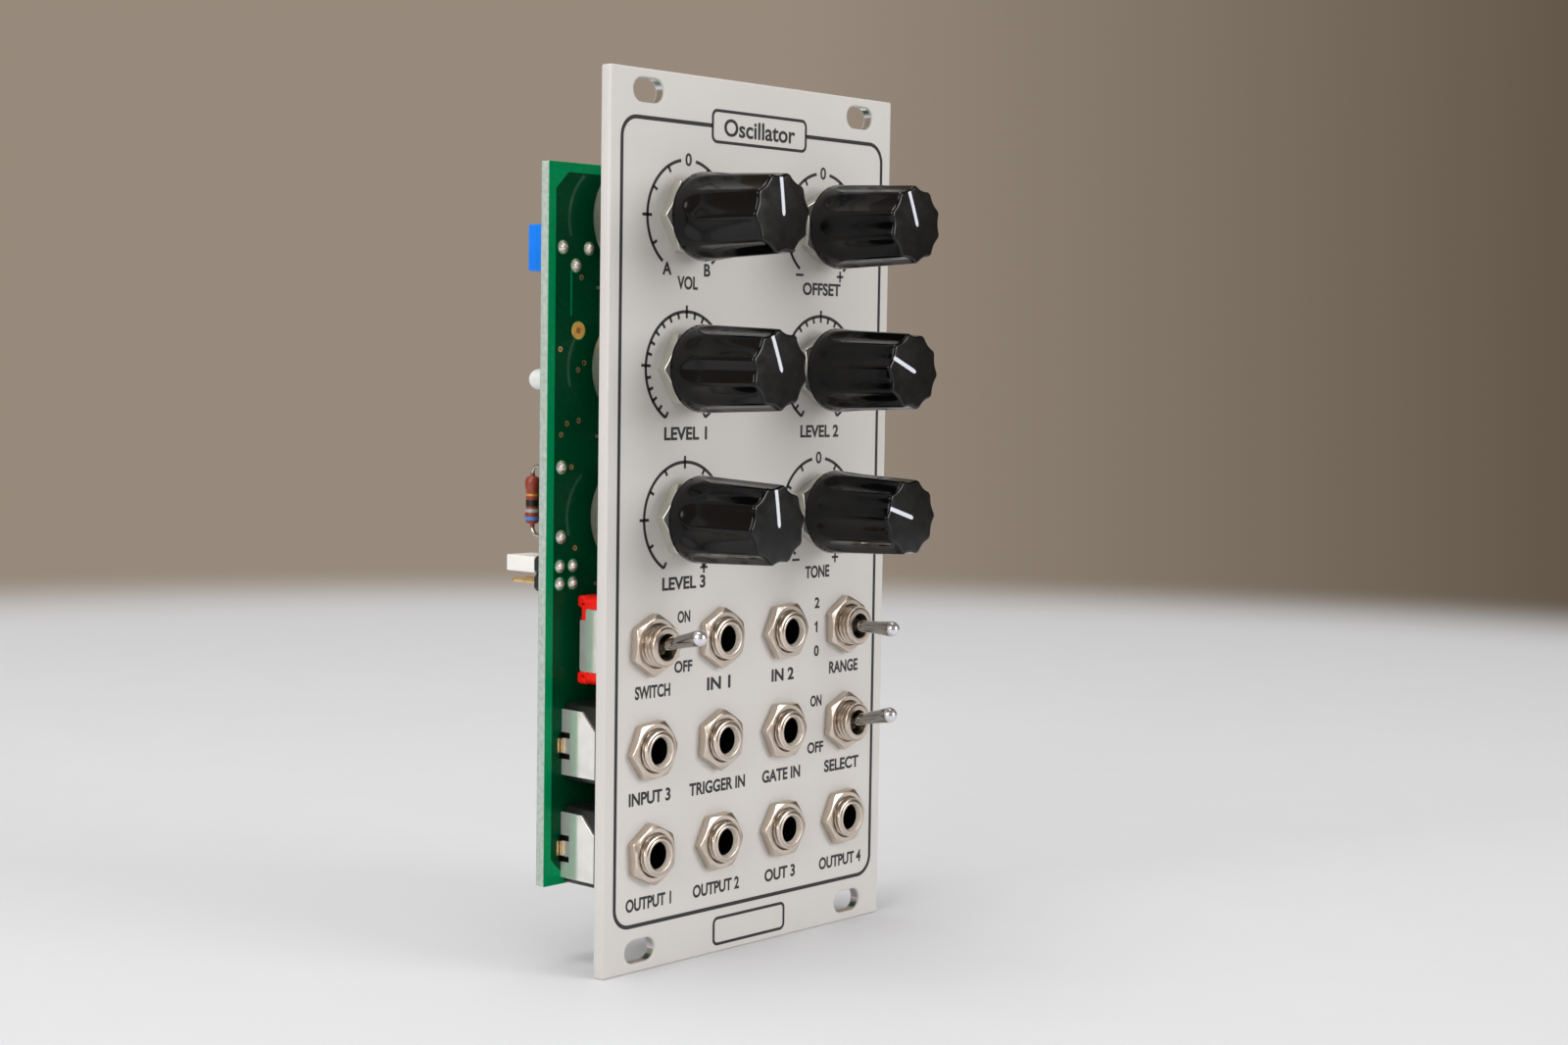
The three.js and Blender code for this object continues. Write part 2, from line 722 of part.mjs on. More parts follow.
function makeTrimmer() {
  const { x, z } = trimmerPlace;
  const front = boardBack + trimmerStandoff;
  const back = front + trimmerDepth;
  const left = x - trimmerWidth / 2;
  const right = x + trimmerWidth / 2;
  const bottom = z - trimmerHeight / 2;
  const top = z + trimmerHeight / 2;
  const feet = [[left, left + trimmerFoot], [right - trimmerFoot, right]].map(([from, to]) => {
    return block(from, to, boardBack, front + trimmerFoot, bottom, top);
  });
  const pins = trimmerPins().map((pin) => {
    const tail = rod(trimmerPinDiameter / 2, boardFront - tailLength, front + trimmerFoot, leadSides);
    return tail.translate([x + pin.x, 0, z + pin.z]);
  });
  const pocketFront = back - rotorThickness - runningClearance;
  const pocket = rod(rotorDiameter / 2 + runningClearance, pocketFront, back + overrun, bushSides);
  const box = cut(block(left, right, front, back, bottom, top), pocket.translate([x, 0, z]));
  const body = piece("trimmer", joined(box, ...feet, ...pins), trimmerBlue);
  const disc = rod(rotorDiameter / 2, -rotorThickness, 0, bushSides);
  const half = rotorSlotWidth / 2;
  const across = rotorDiameter / 2 + overrun;
  const slot = block(-half, half, -rotorSlotDepth, overrun, -across, across);
  const rotor = piece("trimmer_rotor", cut(disc, slot), rotorWhite);
  rotor.position.set(x, back, z);
  return [body, rotor];
}

// A surface-mounted indicator lamp: a domed body on a flange, standing on its moulded foot
function makeLamp() {
  const { x, z } = lampPlace;
  const radius = lampDiameter / 2;
  const flange = radius + lampFlange;
  const front = boardBack + lampStandoff;
  const back = front + lampLength;
  const dome = back - radius;
  const bulb = turned([
    [0, front],
    [flange, front],
    [flange, front + lampFlangeThickness],
    [radius, front + lampFlangeThickness],
    [radius, dome],
    [radius * Math.cos(Math.PI / 6), dome + radius * Math.sin(Math.PI / 6)],
    [radius * Math.cos(Math.PI / 3), dome + radius * Math.sin(Math.PI / 3)],
    [0, back],
  ], smallSides);
  const foot = bar(0, 0, lampFootWidth, lampFootHeight, boardBack, front + lampFlangeThickness);
  return piece("lamp", joined(bulb, foot).translate([x, 0, z]), lampWhite);
}

// An axial resistor that stands off the board on its two bent leads
function makeResistor() {
  const { x, z } = resistorPlace;
  const radius = resistorDiameter / 2;
  const waist = radius - resistorWaist;
  const half = resistorLength / 2;
  const lead = leadDiameter / 2;
  const cap = half - resistorCapLength;
  const ease = resistorWaist;
  const barrel = turned([
    [0, -half],
    [radius - ease, -half],
    [radius, ease - half],
    [radius, -cap - ease],
    [waist, -cap],
    [waist, cap],
    [radius, cap + ease],
    [radius, half - ease],
    [radius - ease, half],
    [0, half],
  ], smallSides);
  const axis = boardBack + resistorStandoff + radius;
  const reach = resistorLeadSpan / 2;
  const bend = resistorLeadBend;
  const lay = boardFront - tailLength;
  const at = (back, up) => new THREE.Vector3(0, back, up);
  const lowBend = [at(axis - bend, -reach), at(axis, -reach), at(axis, bend - reach)];
  const highBend = [at(axis, reach - bend), at(axis, reach), at(axis - bend, reach)];
  const route = new THREE.CurvePath();
  route.add(new THREE.LineCurve3(at(lay, -reach), lowBend[0]));
  route.add(new THREE.QuadraticBezierCurve3(...lowBend));
  route.add(new THREE.LineCurve3(lowBend[2], highBend[0]));
  route.add(new THREE.QuadraticBezierCurve3(...highBend));
  route.add(new THREE.LineCurve3(highBend[2], at(lay, reach)));
  const section = new THREE.Shape();
  section.absarc(0, 0, lead, 0, 2 * Math.PI, false);
  const wire = new THREE.ExtrudeGeometry(section, {
    steps: leadSteps, curveSegments: leadSides / 2, bevelEnabled: false, extrudePath: route,
  });
  const upright = barrel.rotate([90, 0, 0]).translate([0, axis, 0]);
  return piece("resistor", joined(upright, solid(wire)).translate([x, 0, z]), resistorRed);
}

function headerBody(place, rows) {
  const halfWidth = headerPitch;
  const halfHeight = (rows * headerPitch) / 2;
  const baseBack = boardBack + headerBaseDepth;
  const base = block(-halfWidth, halfWidth, boardBack, baseBack, -halfHeight, halfHeight);
  const pins = headerPins(rows).map((pin) => {
    const front = boardFront - tailLength;
    return bar(pin.x, pin.z, headerPinSquare, headerPinSquare, front, boardBack + headerPinReach);
  });
  return joined(base, ...pins).translate([place.x, 0, place.z]);
}

// The jumper bridges the upper two pins of the small header
function makeJumper() {
  const halfWidth = headerPitch - jumperSideTrim;
  const halfHeight = headerPitch / 2 - jumperSideTrim;
  const ways = [-1, 1].map((side) => {
    return bar((side * headerPitch) / 2, 0, jumperBore, jumperBore, -overrun, jumperLength + overrun);
  });
  const shell = block(-halfWidth, halfWidth, 0, jumperLength, -halfHeight, halfHeight);
  const jumper = piece("jumper", cut(shell, ...ways), jumperWhite);
  jumper.position.set(headerPlace.x, boardBack + headerBaseDepth, headerPlace.z + headerPitch / 2);
  return jumper;
}

const module = new THREE.Group();
module.add(makePanel(), makeBoard());
for (const dial of dials) module.add(makePotBody(dial), makePotNut(dial), makeShaft(dial), makeKnob(dial));
for (const socket of sockets) module.add(makeSocket(socket), makeSocketNut(socket));
for (const toggle of toggles) module.add(makeToggle(toggle), makeToggleNut(toggle), makeLever(toggle));
module.add(...makeTrimmer(), makeLamp(), makeResistor());
module.add(piece("pin_header", headerBody(headerPlace, 2), headerBlack), makeJumper());
module.add(piece("power_header", headerBody(powerPlace, powerHeaderRows), headerBlack));
module.position.y = (frontReach - backReach) / 2;
module.updateMatrixWorld(true);

export default module;
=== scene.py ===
"""A 12 HP synthesiser module dressed for its portrait: panel, controls, board and a plain studio.

Lengths are millimetres, y = 0 on the panel's front and growing back from it, until a mesh is
finished. Turns are degrees, clockwise from the top as seen from the front.
"""
import sys
import logging
import math
import random
from dataclasses import dataclass, field
from enum import Enum
from functools import partial
from typing import Callable, Mapping, Optional, Sequence

import bmesh
import bpy
from bpy.types import ID, Material, Mesh, Node, NodeSocket, Object, World
from mathutils import Matrix, Vector


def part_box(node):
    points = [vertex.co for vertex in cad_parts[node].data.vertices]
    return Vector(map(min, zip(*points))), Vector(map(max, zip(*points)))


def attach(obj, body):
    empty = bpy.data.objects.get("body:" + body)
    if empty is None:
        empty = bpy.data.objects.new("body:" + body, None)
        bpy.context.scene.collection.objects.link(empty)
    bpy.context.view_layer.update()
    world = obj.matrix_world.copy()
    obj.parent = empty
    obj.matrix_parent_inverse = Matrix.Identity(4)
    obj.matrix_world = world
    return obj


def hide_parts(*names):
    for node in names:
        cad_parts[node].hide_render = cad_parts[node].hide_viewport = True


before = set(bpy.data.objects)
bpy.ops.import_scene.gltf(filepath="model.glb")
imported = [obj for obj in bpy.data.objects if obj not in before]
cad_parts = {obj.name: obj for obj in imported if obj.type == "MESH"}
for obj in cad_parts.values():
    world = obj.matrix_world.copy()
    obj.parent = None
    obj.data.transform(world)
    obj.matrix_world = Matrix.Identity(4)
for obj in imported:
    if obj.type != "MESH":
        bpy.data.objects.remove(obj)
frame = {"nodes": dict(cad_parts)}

log = logging.getLogger("module")

MM = 0.001
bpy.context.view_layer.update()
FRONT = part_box("front_panel")[0].y

Point = tuple[float, float]
Triple = tuple[float, float, float]
Outline = list[Point]
Form = Callable[[float, float, float], float]
Key = str | int

ORIGIN = (0.0, 0.0)
# Depths that several parts share: the board's two faces, and the ends of pins from the front
BOARD_FRONT, BOARD_BACK, PIN_END = 13.2, 14.8, 15.5
# Radii of the bushes that pass the panel, and the headers' pitch
DIAL_BUSH, SMALL_BUSH, PITCH = 3.5, 3.0, 2.54
# Where terminals pass the board, across and up from the middle of their part
POT_PINS = [(x, -10.1) for x in (-5.0, 0.0, 5.0)]
SOCKET_PINS = [(-4.85, 0.0), (4.85, 0.0), (0.0, -3.15)]
TOGGLE_PINS = [(0.0, z) for z in (-4.7, 0.0, 4.7)]
TRIMMER_PINS = [(-PITCH, 0.0), (0.0, -PITCH), (PITCH, 0.0)]
RESISTOR_PINS = [(0.0, z) for z in (-5.05, 5.05)]


# ---------------------------------------------------------------- finishes


def linear(colour: str) -> tuple[float, float, float, float]:
    """Turn an sRGB hex colour to linear light.

    Args:
        colour: "#rrggbb".

    Returns:
        Linear red, green, blue and full alpha.
    """
    shares = [int(colour[i:i + 2], 16) / 255 for i in (1, 3, 5)]
    light = [c / 12.92 if c <= 0.04045 else ((c + 0.055) / 1.055) ** 2.4 for c in shares]
    return (light[0], light[1], light[2], 1.0)


def blank(owner: Material | World) -> Material | World:
    """Give a material or world an empty node tree.

    Args:
        owner: what is to own the tree.

    Returns:
        The same owner.
    """
    owner.use_nodes = True
    owner.node_tree.nodes.clear()
    return owner


def add_node(owner: Material | World, kind: str, settings: Optional[Mapping[Key, object]] = None,
             links: Optional[Mapping[Key, NodeSocket]] = None) -> Node:
    """Add a node to a material or world.

    Args:
        owner: what owns the node tree.
        kind: the node's type.
        settings: values by the name of a property, or the name or place of an input.
        links: sources by the name or place of an input.

    Returns:
        The new node.
    """
    node = owner.node_tree.nodes.new(kind)
    for key, value in (settings or {}).items():
        if isinstance(key, str) and hasattr(node, key):
            setattr(node, key, value)
        else:
            node.inputs[key].default_value = value
    for key, source in (links or {}).items():
        owner.node_tree.links.new(source, node.inputs[key])
    return node


@dataclass(frozen=True)
class Finish:
    """A surface: what it is made of, its colours and how its skin was made."""

    name: str
    colour: str
    drift: str  # the colour that soft patches drift towards
    roughness: float
    spread: float = 0.08  # how far roughness wanders either way
    metallic: float = 0.0
    grain: float = 0.4  # mm across one grain of the skin
    stretch: Triple = (1.0, 1.0, 1.0)  # grains drawn out along an axis
    relief: float = 0.004  # mm from the skin's hollows to its peaks
    patch: float = 9.0  # mm across one patch of drift
    shader: Mapping[Key, object] = field(default_factory=dict)

    def material(self) -> Material:
        """Return the finish's material, made the first time."""
        return bpy.data.materials.get(self.name) or self.make()

    def make(self) -> Material:
        """Build the material: patches drift in colour and gloss, and grain gives relief.

        Returns:
            The new material.
        """
        material = blank(bpy.data.materials.new(self.name))
        node = partial(add_node, material)
        at = node("ShaderNodeTexCoord").outputs["Object"]
        fine = tuple(1 / (self.grain * MM * s) for s in self.stretch)
        drawn = node("ShaderNodeMapping", {"Scale": fine}, {0: at}).outputs[0]
        grain = node("ShaderNodeTexNoise", {"Scale": 1.0, "Detail": 3.0}, {0: drawn}).outputs[0]
        coarse = {"Scale": 1 / (self.patch * MM), "Detail": 4.0}
        patch = node("ShaderNodeTexNoise", coarse, {0: at}).outputs[0]
        # Noise gathers about its middle, so only that part of its range is spread from end to end
        tone = node("ShaderNodeMapRange", {"From Min": 0.35, "From Max": 0.68}, {0: patch})
        colours = {"data_type": "RGBA", 6: linear(self.colour), 7: linear(self.drift)}
        colour = node("ShaderNodeMix", colours, {0: tone.outputs[0]})
        both = node("ShaderNodeMath", {"operation": "ADD"}, {0: patch, 1: grain})
        gloss = node("ShaderNodeMapRange", {
            "From Min": 0.7, "From Max": 1.3, "To Min": max(self.roughness - self.spread, 0.02),
            "To Max": self.roughness + self.spread}, {0: both.outputs[0]})
        bump = node("ShaderNodeBump", {"Distance": self.relief * MM, "Strength": 1.0},
                    {"Height": grain})
        shader = node("ShaderNodeBsdfPrincipled", {"Metallic": self.metallic, **self.shader}, {
            "Base Color": colour.outputs[2], "Roughness": gloss.outputs[0],
            "Normal": bump.outputs[0]})
        node("ShaderNodeOutputMaterial", links={"Surface": shader.outputs[0]})
        return material


def glow(weight: float, radius: Triple, scale: float) -> dict[str, object]:
    """Return shader values that let light creep through a skin, to a scale in mm."""
    return {"Subsurface Weight": weight, "Subsurface Radius": radius,
            "Subsurface Scale": scale * MM}


# Brushed and clear-anodised aluminium: warm pale grey, a soft sheen and faint upright brush lines
PANEL_ALUMINIUM = Finish("brushed_anodised_aluminium", "#cfcbc6", "#cac6c1", 0.45, 0.05, 0.06,
                         grain=0.09, stretch=(1.0, 1.0, 60.0), relief=0.001, patch=30.0,
                         shader={"Specular IOR Level": 0.35})
# Bare milled aluminium inside the rack slots: brighter and cooler than the anodised face
MILLED_ALUMINIUM = Finish("milled_aluminium", "#e2e1df", "#d2d1cf", 0.24, metallic=1.0,
                          grain=0.15, stretch=(1.0, 8.0, 1.0), patch=1.5)
# Screen-printed epoxy ink: flat near-black that stands a hair above the metal
PRINT_INK = Finish("screen_printed_ink", "#1b1a1d", "#232226", 0.55, grain=0.12, relief=0.003)
# Moulded phenolic, tumbled bright: deep gloss black with a slight ripple in what it mirrors
KNOB_PHENOLIC = Finish("moulded_phenolic", "#040405", "#070708", 0.12, 0.04, grain=1.8,
                       relief=0.003, shader={"Specular IOR Level": 0.28})
# The same phenolic on the cap, greyer than the body: painted sheen of the bright table mirrored in
# the domed cap, with a softer gloss
CAP_PHENOLIC = Finish("cap_phenolic_painted_sheen", "#0a0b0c", "#0d0e10", 0.26, 0.05, grain=1.6, relief=0.0006)
# Filled pointer enamel: clean white, a little softer than the knob round it
POINTER_ENAMEL = Finish("pointer_enamel", "#dcdfe6", "#d2d6de", 0.45, 0.05, grain=0.2)
# Nickel plate on turned brass: warm champagne mirror broken by fine tool marks
NICKEL_PLATE = Finish("nickel_plate", "#d6cabe", "#cdc0b3", 0.31, 0.04, 1.0, 0.5, relief=0.0003,
                      patch=2.5)
# Painted light: the same plate inside a mouth, near-white and barely metallic, so that its inner
# wall shows bright from light all round
MOUTH_PLATE = Finish("mouth_nickel_painted_light", "#fdf4e8", "#e6d8c6", 0.3, 0.08, 0.15, 0.5, relief=0.0006,
                     patch=0.9)
# Bright zinc on the larger nuts: paler and duller than the nickel
ZINC_PLATE = Finish("bright_zinc_plate", "#d9d8cf", "#cecdc2", 0.34, 0.06, 0.85, relief=0.001,
                    patch=2.0)
# Polished chrome, its colour darkened below bright chrome as painted shade, so that the rod reads
# as a dark sharp mirror
LEVER_CHROME = Finish("chrome_rod_painted_shade", "#9a9791", "#8c8984", 0.08, 0.03, 1.0, 0.8,
                      relief=0.0004, patch=3.0)
# The same chrome on the tip, paler and hazier: painted highlight, so that it shows bright all round
TIP_CHROME = Finish("chrome_tip_painted_highlight", "#e3e0e4", "#d6d3d8", 0.2, 0.05, 0.8, 0.8, relief=0.0004,
                    patch=2.0)
# Turned steel: fine rings from the lathe round a grey shaft
TURNED_STEEL = Finish("turned_steel", "#b9b9ba", "#a5a5a6", 0.3, 0.08, 1.0, 0.25,
                      (4.0, 0.4, 4.0), 0.006, 3.0)
# Tin-plated spring steel: a white, slightly hazy mirror that picks up the green of the board
TIN_PLATE = Finish("tin_plate", "#f2f0ea", "#e6e4dd", 0.14, 0.04, 0.7, 0.6, relief=0.0002,
                   patch=2.2)
# The same metal on the potentiometer pins, darker and browner than the bright tin, so that they
# stay dim
DIMMED_TIN = Finish("dimmed_pin_tin", "#8f8a7c", "#6f695b", 0.45, 0.1, 0.7, 0.3, relief=0.002,
                    patch=1.0)
# Zinc-plated drawn steel of the potentiometer cans: pale, warm and slightly streaked
CAN_STEEL = Finish("zinc_plated_steel", "#cfcabd", "#bdb8aa", 0.34, 0.08, 0.9, 0.6,
                   relief=0.0015, patch=4.0)
# Paper-based phenolic wafer: brown and dry with a fibrous fleck
WAFER_PHENOLIC = Finish("paper_phenolic", "#7c5a35", "#6a4a2a", 0.6, grain=0.3,
                        stretch=(5.0, 1.0, 1.0), relief=0.01, patch=1.2)
# Moulded PBT of the socket cases: black, smooth, with a faint glassy skin
CASE_BLACK = Finish("moulded_black_pbt", "#131312", "#1a1a18", 0.32, grain=0.35, relief=0.006)
# Painted shade: a black, nearly unreflecting lining put in bores, wells and slits where no light
# reaches
PAINTED_SHADE_BLACK = Finish("painted_shade_black", "#040404", "#060606", 0.5, 0.05,
                    shader={"Specular IOR Level": 0.1})
# Moulded red PBT of the toggle cases: saturated and half glossy
CASE_RED = Finish("moulded_red_pbt", "#ee1a0e", "#de130a", 0.32, 0.07, relief=0.006)
# Glass-filled nylon of the headers: black and finely speckled by its fibres
HEADER_NYLON = Finish("glass_filled_nylon", "#141414", "#1d1d1c", 0.48, 0.1, grain=0.12,
                      relief=0.01, patch=0.8)
# Gold flash over nickel: thin pale gold, half mirror
GOLD_FLASH = Finish("gold_flash", "#e6c691", "#d8b479", 0.26, 0.07, 0.75, relief=0.0006,
                    patch=1.5)
# Gold over a copper ring lit from the front: warm and full, with a few dull specks
PAD_GOLD = Finish("immersion_gold", "#ffd070", "#eda845", 0.34, 0.08, 0.1, 0.3, relief=0.001,
                  patch=0.5)
# Copper that plugs the plated hole, where the gold is thin: red-brown
HOLE_COPPER = Finish("thinly_plated_copper", "#c8763a", "#a85a2a", 0.4, 0.08, 0.1, 0.2,
                     relief=0.002, patch=0.5)
# Solder: beige-silver fillets, bright but cooled with a slight orange-peel
SOLDER = Finish("solder", "#e4e1d6", "#d3cfc1", 0.3, 0.07, 0.7, 0.45, relief=0.0015, patch=0.9)
# Woven glass and epoxy: minty, translucent, with its threads just showing
LAMINATE = Finish("glass_epoxy_laminate", "#b3bdb4", "#98a59c", 0.45, grain=0.5,
                  stretch=(3.0, 0.3, 3.0), relief=0.01, patch=0.8,
                  shader={"IOR": 1.55, **glow(0.25, (1.0, 1.4, 1.0), 1.0)})
# Green solder mask on bare laminate: bright leaf green under a wet-looking skin
MASK_OVER_LAMINATE = Finish("solder_mask_on_laminate", "#009d60", "#00975c", 0.26, 0.06,
                            grain=0.9, relief=0.0004,
                            shader={"IOR": 1.48, "Specular IOR Level": 0.08})
# The same mask over a copper pour: the metal below turns it dark
MASK_OVER_COPPER = Finish("solder_mask_on_copper", "#004a2b", "#004427", 0.26, 0.06, grain=0.9,
                          relief=0.0004, shader={"IOR": 1.48, "Specular IOR Level": 0.08})
# Painted reflection: pale greyed-green arcs where the potentiometer cans mirror in the glossy mask
PAINTED_REFLECTION = Finish("painted_can_reflection", "#235f42", "#164e34", 0.45, 0.06, grain=0.15,
                     relief=0.002, patch=2.0)
# White legend ink on the board
LEGEND_INK = Finish("legend_ink", "#d8e6d8", "#cfdccd", 0.55, 0.06, grain=0.15, relief=0.006)
# Moulded blue thermoplastic of the trimmer: clean, half matte
TRIMMER_BLUE = Finish("moulded_blue_polyamide", "#027cec", "#0274dd", 0.34, grain=0.3,
                      shader={"Specular IOR Level": 0.25})
# Off-white nylon of rotor and jumper: waxy, with light creeping into its edges
NYLON_WHITE = Finish("off_white_nylon", "#ebe9e4", "#e4e1da", 0.42, relief=0.008,
                     shader=glow(0.12, (1.0, 0.8, 0.6), 0.8))
# Milky epoxy of the lamp: diffusing, bright inside, with a clear gloss
LAMP_EPOXY = Finish("milky_epoxy", "#dcdcd8", "#d4d4d0", 0.16, 0.05, grain=1.2,
                    shader={"IOR": 1.53, **glow(0.4, (1.0, 1.0, 0.9), 1.5)})
# Dipped lacquer of the resistor: red-brown with soft sags
RESISTOR_LACQUER = Finish("dipped_lacquer", "#8e3a28", "#7c2c1c", 0.34, 0.1, grain=0.5,
                          relief=0.012, patch=1.4)
# Its painted bands: glossy and even, the gold one with a little metal in it
BAND_GOLD, BAND_BLACK, BAND_GREY, BAND_BLUE = (
    Finish(f"band_{name}_lacquer", colour, drift, 0.32, metallic=metal, grain=0.3, relief=0.01)
    for name, colour, drift, metal in (
        ("gold", "#d79a4c", "#c78a3c", 0.5), ("black", "#151210", "#1f1a17", 0.0),
        ("grey", "#9b9b97", "#8d8d89", 0.0), ("blue", "#4a7cc0", "#3f70b4", 0.0)))
# Tinned copper wire: bright grey, drawn lengthwise
TINNED_WIRE = Finish("tinned_copper_wire", "#cbc8c1", "#b5b1a8", 0.28, 0.08, 1.0, 0.2, patch=1.0)
# Fired ceramic of small capacitors: dull tan
CERAMIC_TAN = Finish("fired_ceramic", "#a98a63", "#957650", 0.5, grain=0.15, relief=0.006)
# Epoxy of the chips: charcoal, dry and finely pitted
CHIP_EPOXY = Finish("moulded_epoxy", "#1c1c1e", "#262628", 0.55, grain=0.1, relief=0.01)


# ---------------------------------------------------------------- shapes


class Axis(Enum):
    """The direction in which a plate or turned form has its depth."""

    X = "x"
    Y = "y"
    Z = "z"

    def spot(self, a: float, b: float, level: float) -> Vector:
        """Put two sideways lengths and a depth in their places."""
        return Vector({Axis.X: (level, a, b), Axis.Y: (a, level, b), Axis.Z: (a, b, level)}[self])


def clock(centre: Point, radius: float, turn: float) -> Point:
    """Return the point at a distance from a middle, in degrees clockwise from the top."""
    angle = math.radians(turn)
    return centre[0] + radius * math.sin(angle), centre[1] + radius * math.cos(angle)


def circle(radius: float, sides: int, centre: Point = ORIGIN) -> Outline:
    """Outline a circle."""
    return [clock(centre, radius, 360 * i / sides) for i in range(sides)]


def mirrored(side: int, near: float, far: float) -> Point:
    """Return two lengths on one side of the middle, the lesser first; side is -1 or 1."""
    return min(side * near, side * far), max(side * near, side * far)


def rounded(left: float, right: float, low: float, high: float, radius: float,
            steps: int) -> Outline:
    """Outline a rectangle with rounded corners.

    Args:
        left, right, low, high: its sides.
        radius: of its corners, less where the sides are too short for it.
        steps: chords in each corner.

    Returns:
        The outline, anticlockwise.
    """
    radius = min(radius, (right - left) / 2 - 1e-4, (high - low) / 2 - 1e-4)
    corners = [(right - radius, low + radius, 180), (right - radius, high - radius, 90),
               (left + radius, high - radius, 0), (left + radius, low + radius, -90)]
    return [clock((a, b), radius, start - 90 * i / steps)
            for a, b, start in corners for i in range(steps + 1)]


def aside(into: Vector, out: Vector, least: float) -> Vector:
    """Work out how far a corner moves when its two edges move to their right.

    Args:
        into, out: the edges' directions.
        least: keeps the mitre of a sharp corner short.

    Returns:
        The corner's move for each mm of theirs.
    """
    first, second = Vector((into.y, -into.x)), Vector((out.y, -out.x))
    return (first + second) / max(1 + first.dot(second), least)


def grown(outline: Outline, growth: float) -> Outline:
    """Move a closed outline outward, corner by corner.

    Args:
        outline: its corners, either way round.
        growth: how far outward, or inward if negative.

    Returns:
        The moved outline.
    """
    if growth == 0:
        return list(outline)
    points = [Vector(p) for p in outline]
    area = sum(a.x * b.y - b.x * a.y for a, b in zip(points[-1:] + points, points))
    hand = 1 if area > 0 else -1
    return [tuple(here + aside((here - before).normalized(), (after - here).normalized(), 0.2)
                  * hand * growth)
            for before, here, after in zip(points[-1:] + points, points, points[1:] + points[:1])]


class Shape:
    """A mesh that grows by closed forms, each in the finish then in use."""

    def __init__(self, finish: Finish) -> None:
        """Start empty, in one finish.

        Args:
            finish: of the first faces.
        """
        self.mesh = bmesh.new()
        self.finishes = [finish]
        self.index = 0

    def use(self, finish: Finish) -> None:
        """Give what follows another finish.

        Args:
            finish: of the faces that follow.
        """
        if finish not in self.finishes:
            self.finishes.append(finish)
        self.index = self.finishes.index(finish)

    def refinish(self, finish: Finish, depth: float) -> None:
        """Give another finish to the faces whose middles lie in front of a depth.

        Args:
            finish: what the faces get.
            depth: what they lie in front of.
        """
        self.use(finish)
        for face in self.mesh.faces:
            if face.calc_center_median().y < depth:
                face.material_index = self.index

    def face(self, corners: Sequence[bmesh.types.BMVert]) -> None:
        """Add one face in the finish in use."""
        self.mesh.faces.new(corners).material_index = self.index

    def rings(self, rings: Sequence[Sequence[Vector]], closed: bool = False) -> None:
        """Join rings of points one after another; a ring of one point is a pole.

        Args:
            rings: from the first end to the last.
            closed: whether the last ring joins the first, instead of both ends being capped.
        """
        layers = [[self.mesh.verts.new(p) for p in ring] for ring in rings]
        followers = layers[1:] + layers[:1] if closed else layers[1:]
        for near, far in zip(layers, followers):
            count = max(len(near), len(far))
            for i in range(count):
                j = (i + 1) % count
                corners = [near[i % len(near)], near[j % len(near)],
                           far[j % len(far)], far[i % len(far)]]
                if len(near) == 1:
                    corners.pop(1)
                if len(far) == 1:
                    corners.pop(3)
                self.face(corners)
        for layer in () if closed else (layers[0], layers[-1]):
            if len(layer) > 2:
                self.face(layer)

    def turn(self, profile: Sequence[Point], sides: int, at: Point = ORIGIN, closed: bool = False,
             form: Optional[Form] = None, axis: Axis = Axis.Y) -> None:
        """Turn a profile about an axis.

        Args:
            profile: (radius, depth) from end to end; a radius of nothing makes a pole.
            sides: chords round the form.
            at: where the axis stands.
            closed: whether the profile is a loop, for a form with a hole.
            form: changes a radius by (radius, depth, angle clockwise from the top).
            axis: the axis' direction.
        """
        rings = []
        for radius, level in profile:
            angles = [math.tau * i / sides for i in range(sides)] if radius > 0 else [0.0]
            ring = []
            for angle in angles:
                reach = form(radius, level, angle) if form and radius > 0 else radius
                ring.append(axis.spot(at[0] + reach * math.sin(angle),
                                      at[1] + reach * math.cos(angle), level))
            rings.append(ring)
        self.rings(rings, closed)

    def disc(self, radius: float, low: float, high: float, sides: int, at: Point = ORIGIN) -> None:
        """Turn a plain disc between two depths."""
        self.turn([(0, low), (radius, low), (radius, high), (0, high)], sides, at)

    def plate(self, outlines: Sequence[Outline], steps: Sequence[Point],
              axis: Axis = Axis.Y) -> None:
        """Build a plate with holes.

        Args:
            outlines: the outer outline, then the holes.
            steps: (how far each edge is drawn in, depth) from one face to the other.
            axis: the direction of its depth.
        """
        ends: tuple[list, list] = ([], [])
        for number, outline in enumerate(outlines):
            hand = 1 if number else -1
            layers = [[self.mesh.verts.new(axis.spot(a, b, level))
                       for a, b in grown(outline, hand * inset)] for inset, level in steps]
            for near, far in zip(layers, layers[1:]):
                for i in range(len(outline)):
                    j = (i + 1) % len(outline)
                    self.face((near[i], near[j], far[j], far[i]))
            ends[0].append(layers[0])
            ends[1].append(layers[-1])
        for end in ends:
            if len(end) == 1:
                self.face(end[0])
                continue
            edges = [self.mesh.edges.get((layer[i - 1], layer[i]))
                     for layer in end for i in range(len(layer))]
            filled = bmesh.ops.triangle_fill(self.mesh, use_beauty=True, edges=edges)
            for item in filled["geom"]:
                if isinstance(item, bmesh.types.BMFace):
                    item.material_index = self.index

    def block(self, x: Point, y: Point, z: Point, bevel: float) -> None:
        """Build a block with softened edges between three pairs of sides.

        Args:
            x, y, z: its two sides along each axis.
            bevel: how far its edges are softened.
        """
        soft = min(bevel, (y[1] - y[0]) / 3, (x[1] - x[0]) / 3, (z[1] - z[0]) / 3)
        steps = [(soft, y[0]), (soft * 0.3, y[0] + soft * 0.3), (0, y[0] + soft),
                 (0, y[1] - soft), (soft * 0.3, y[1] - soft * 0.3), (soft, y[1])]
        self.plate([rounded(*x, *z, soft * 1.2, 3)], steps)

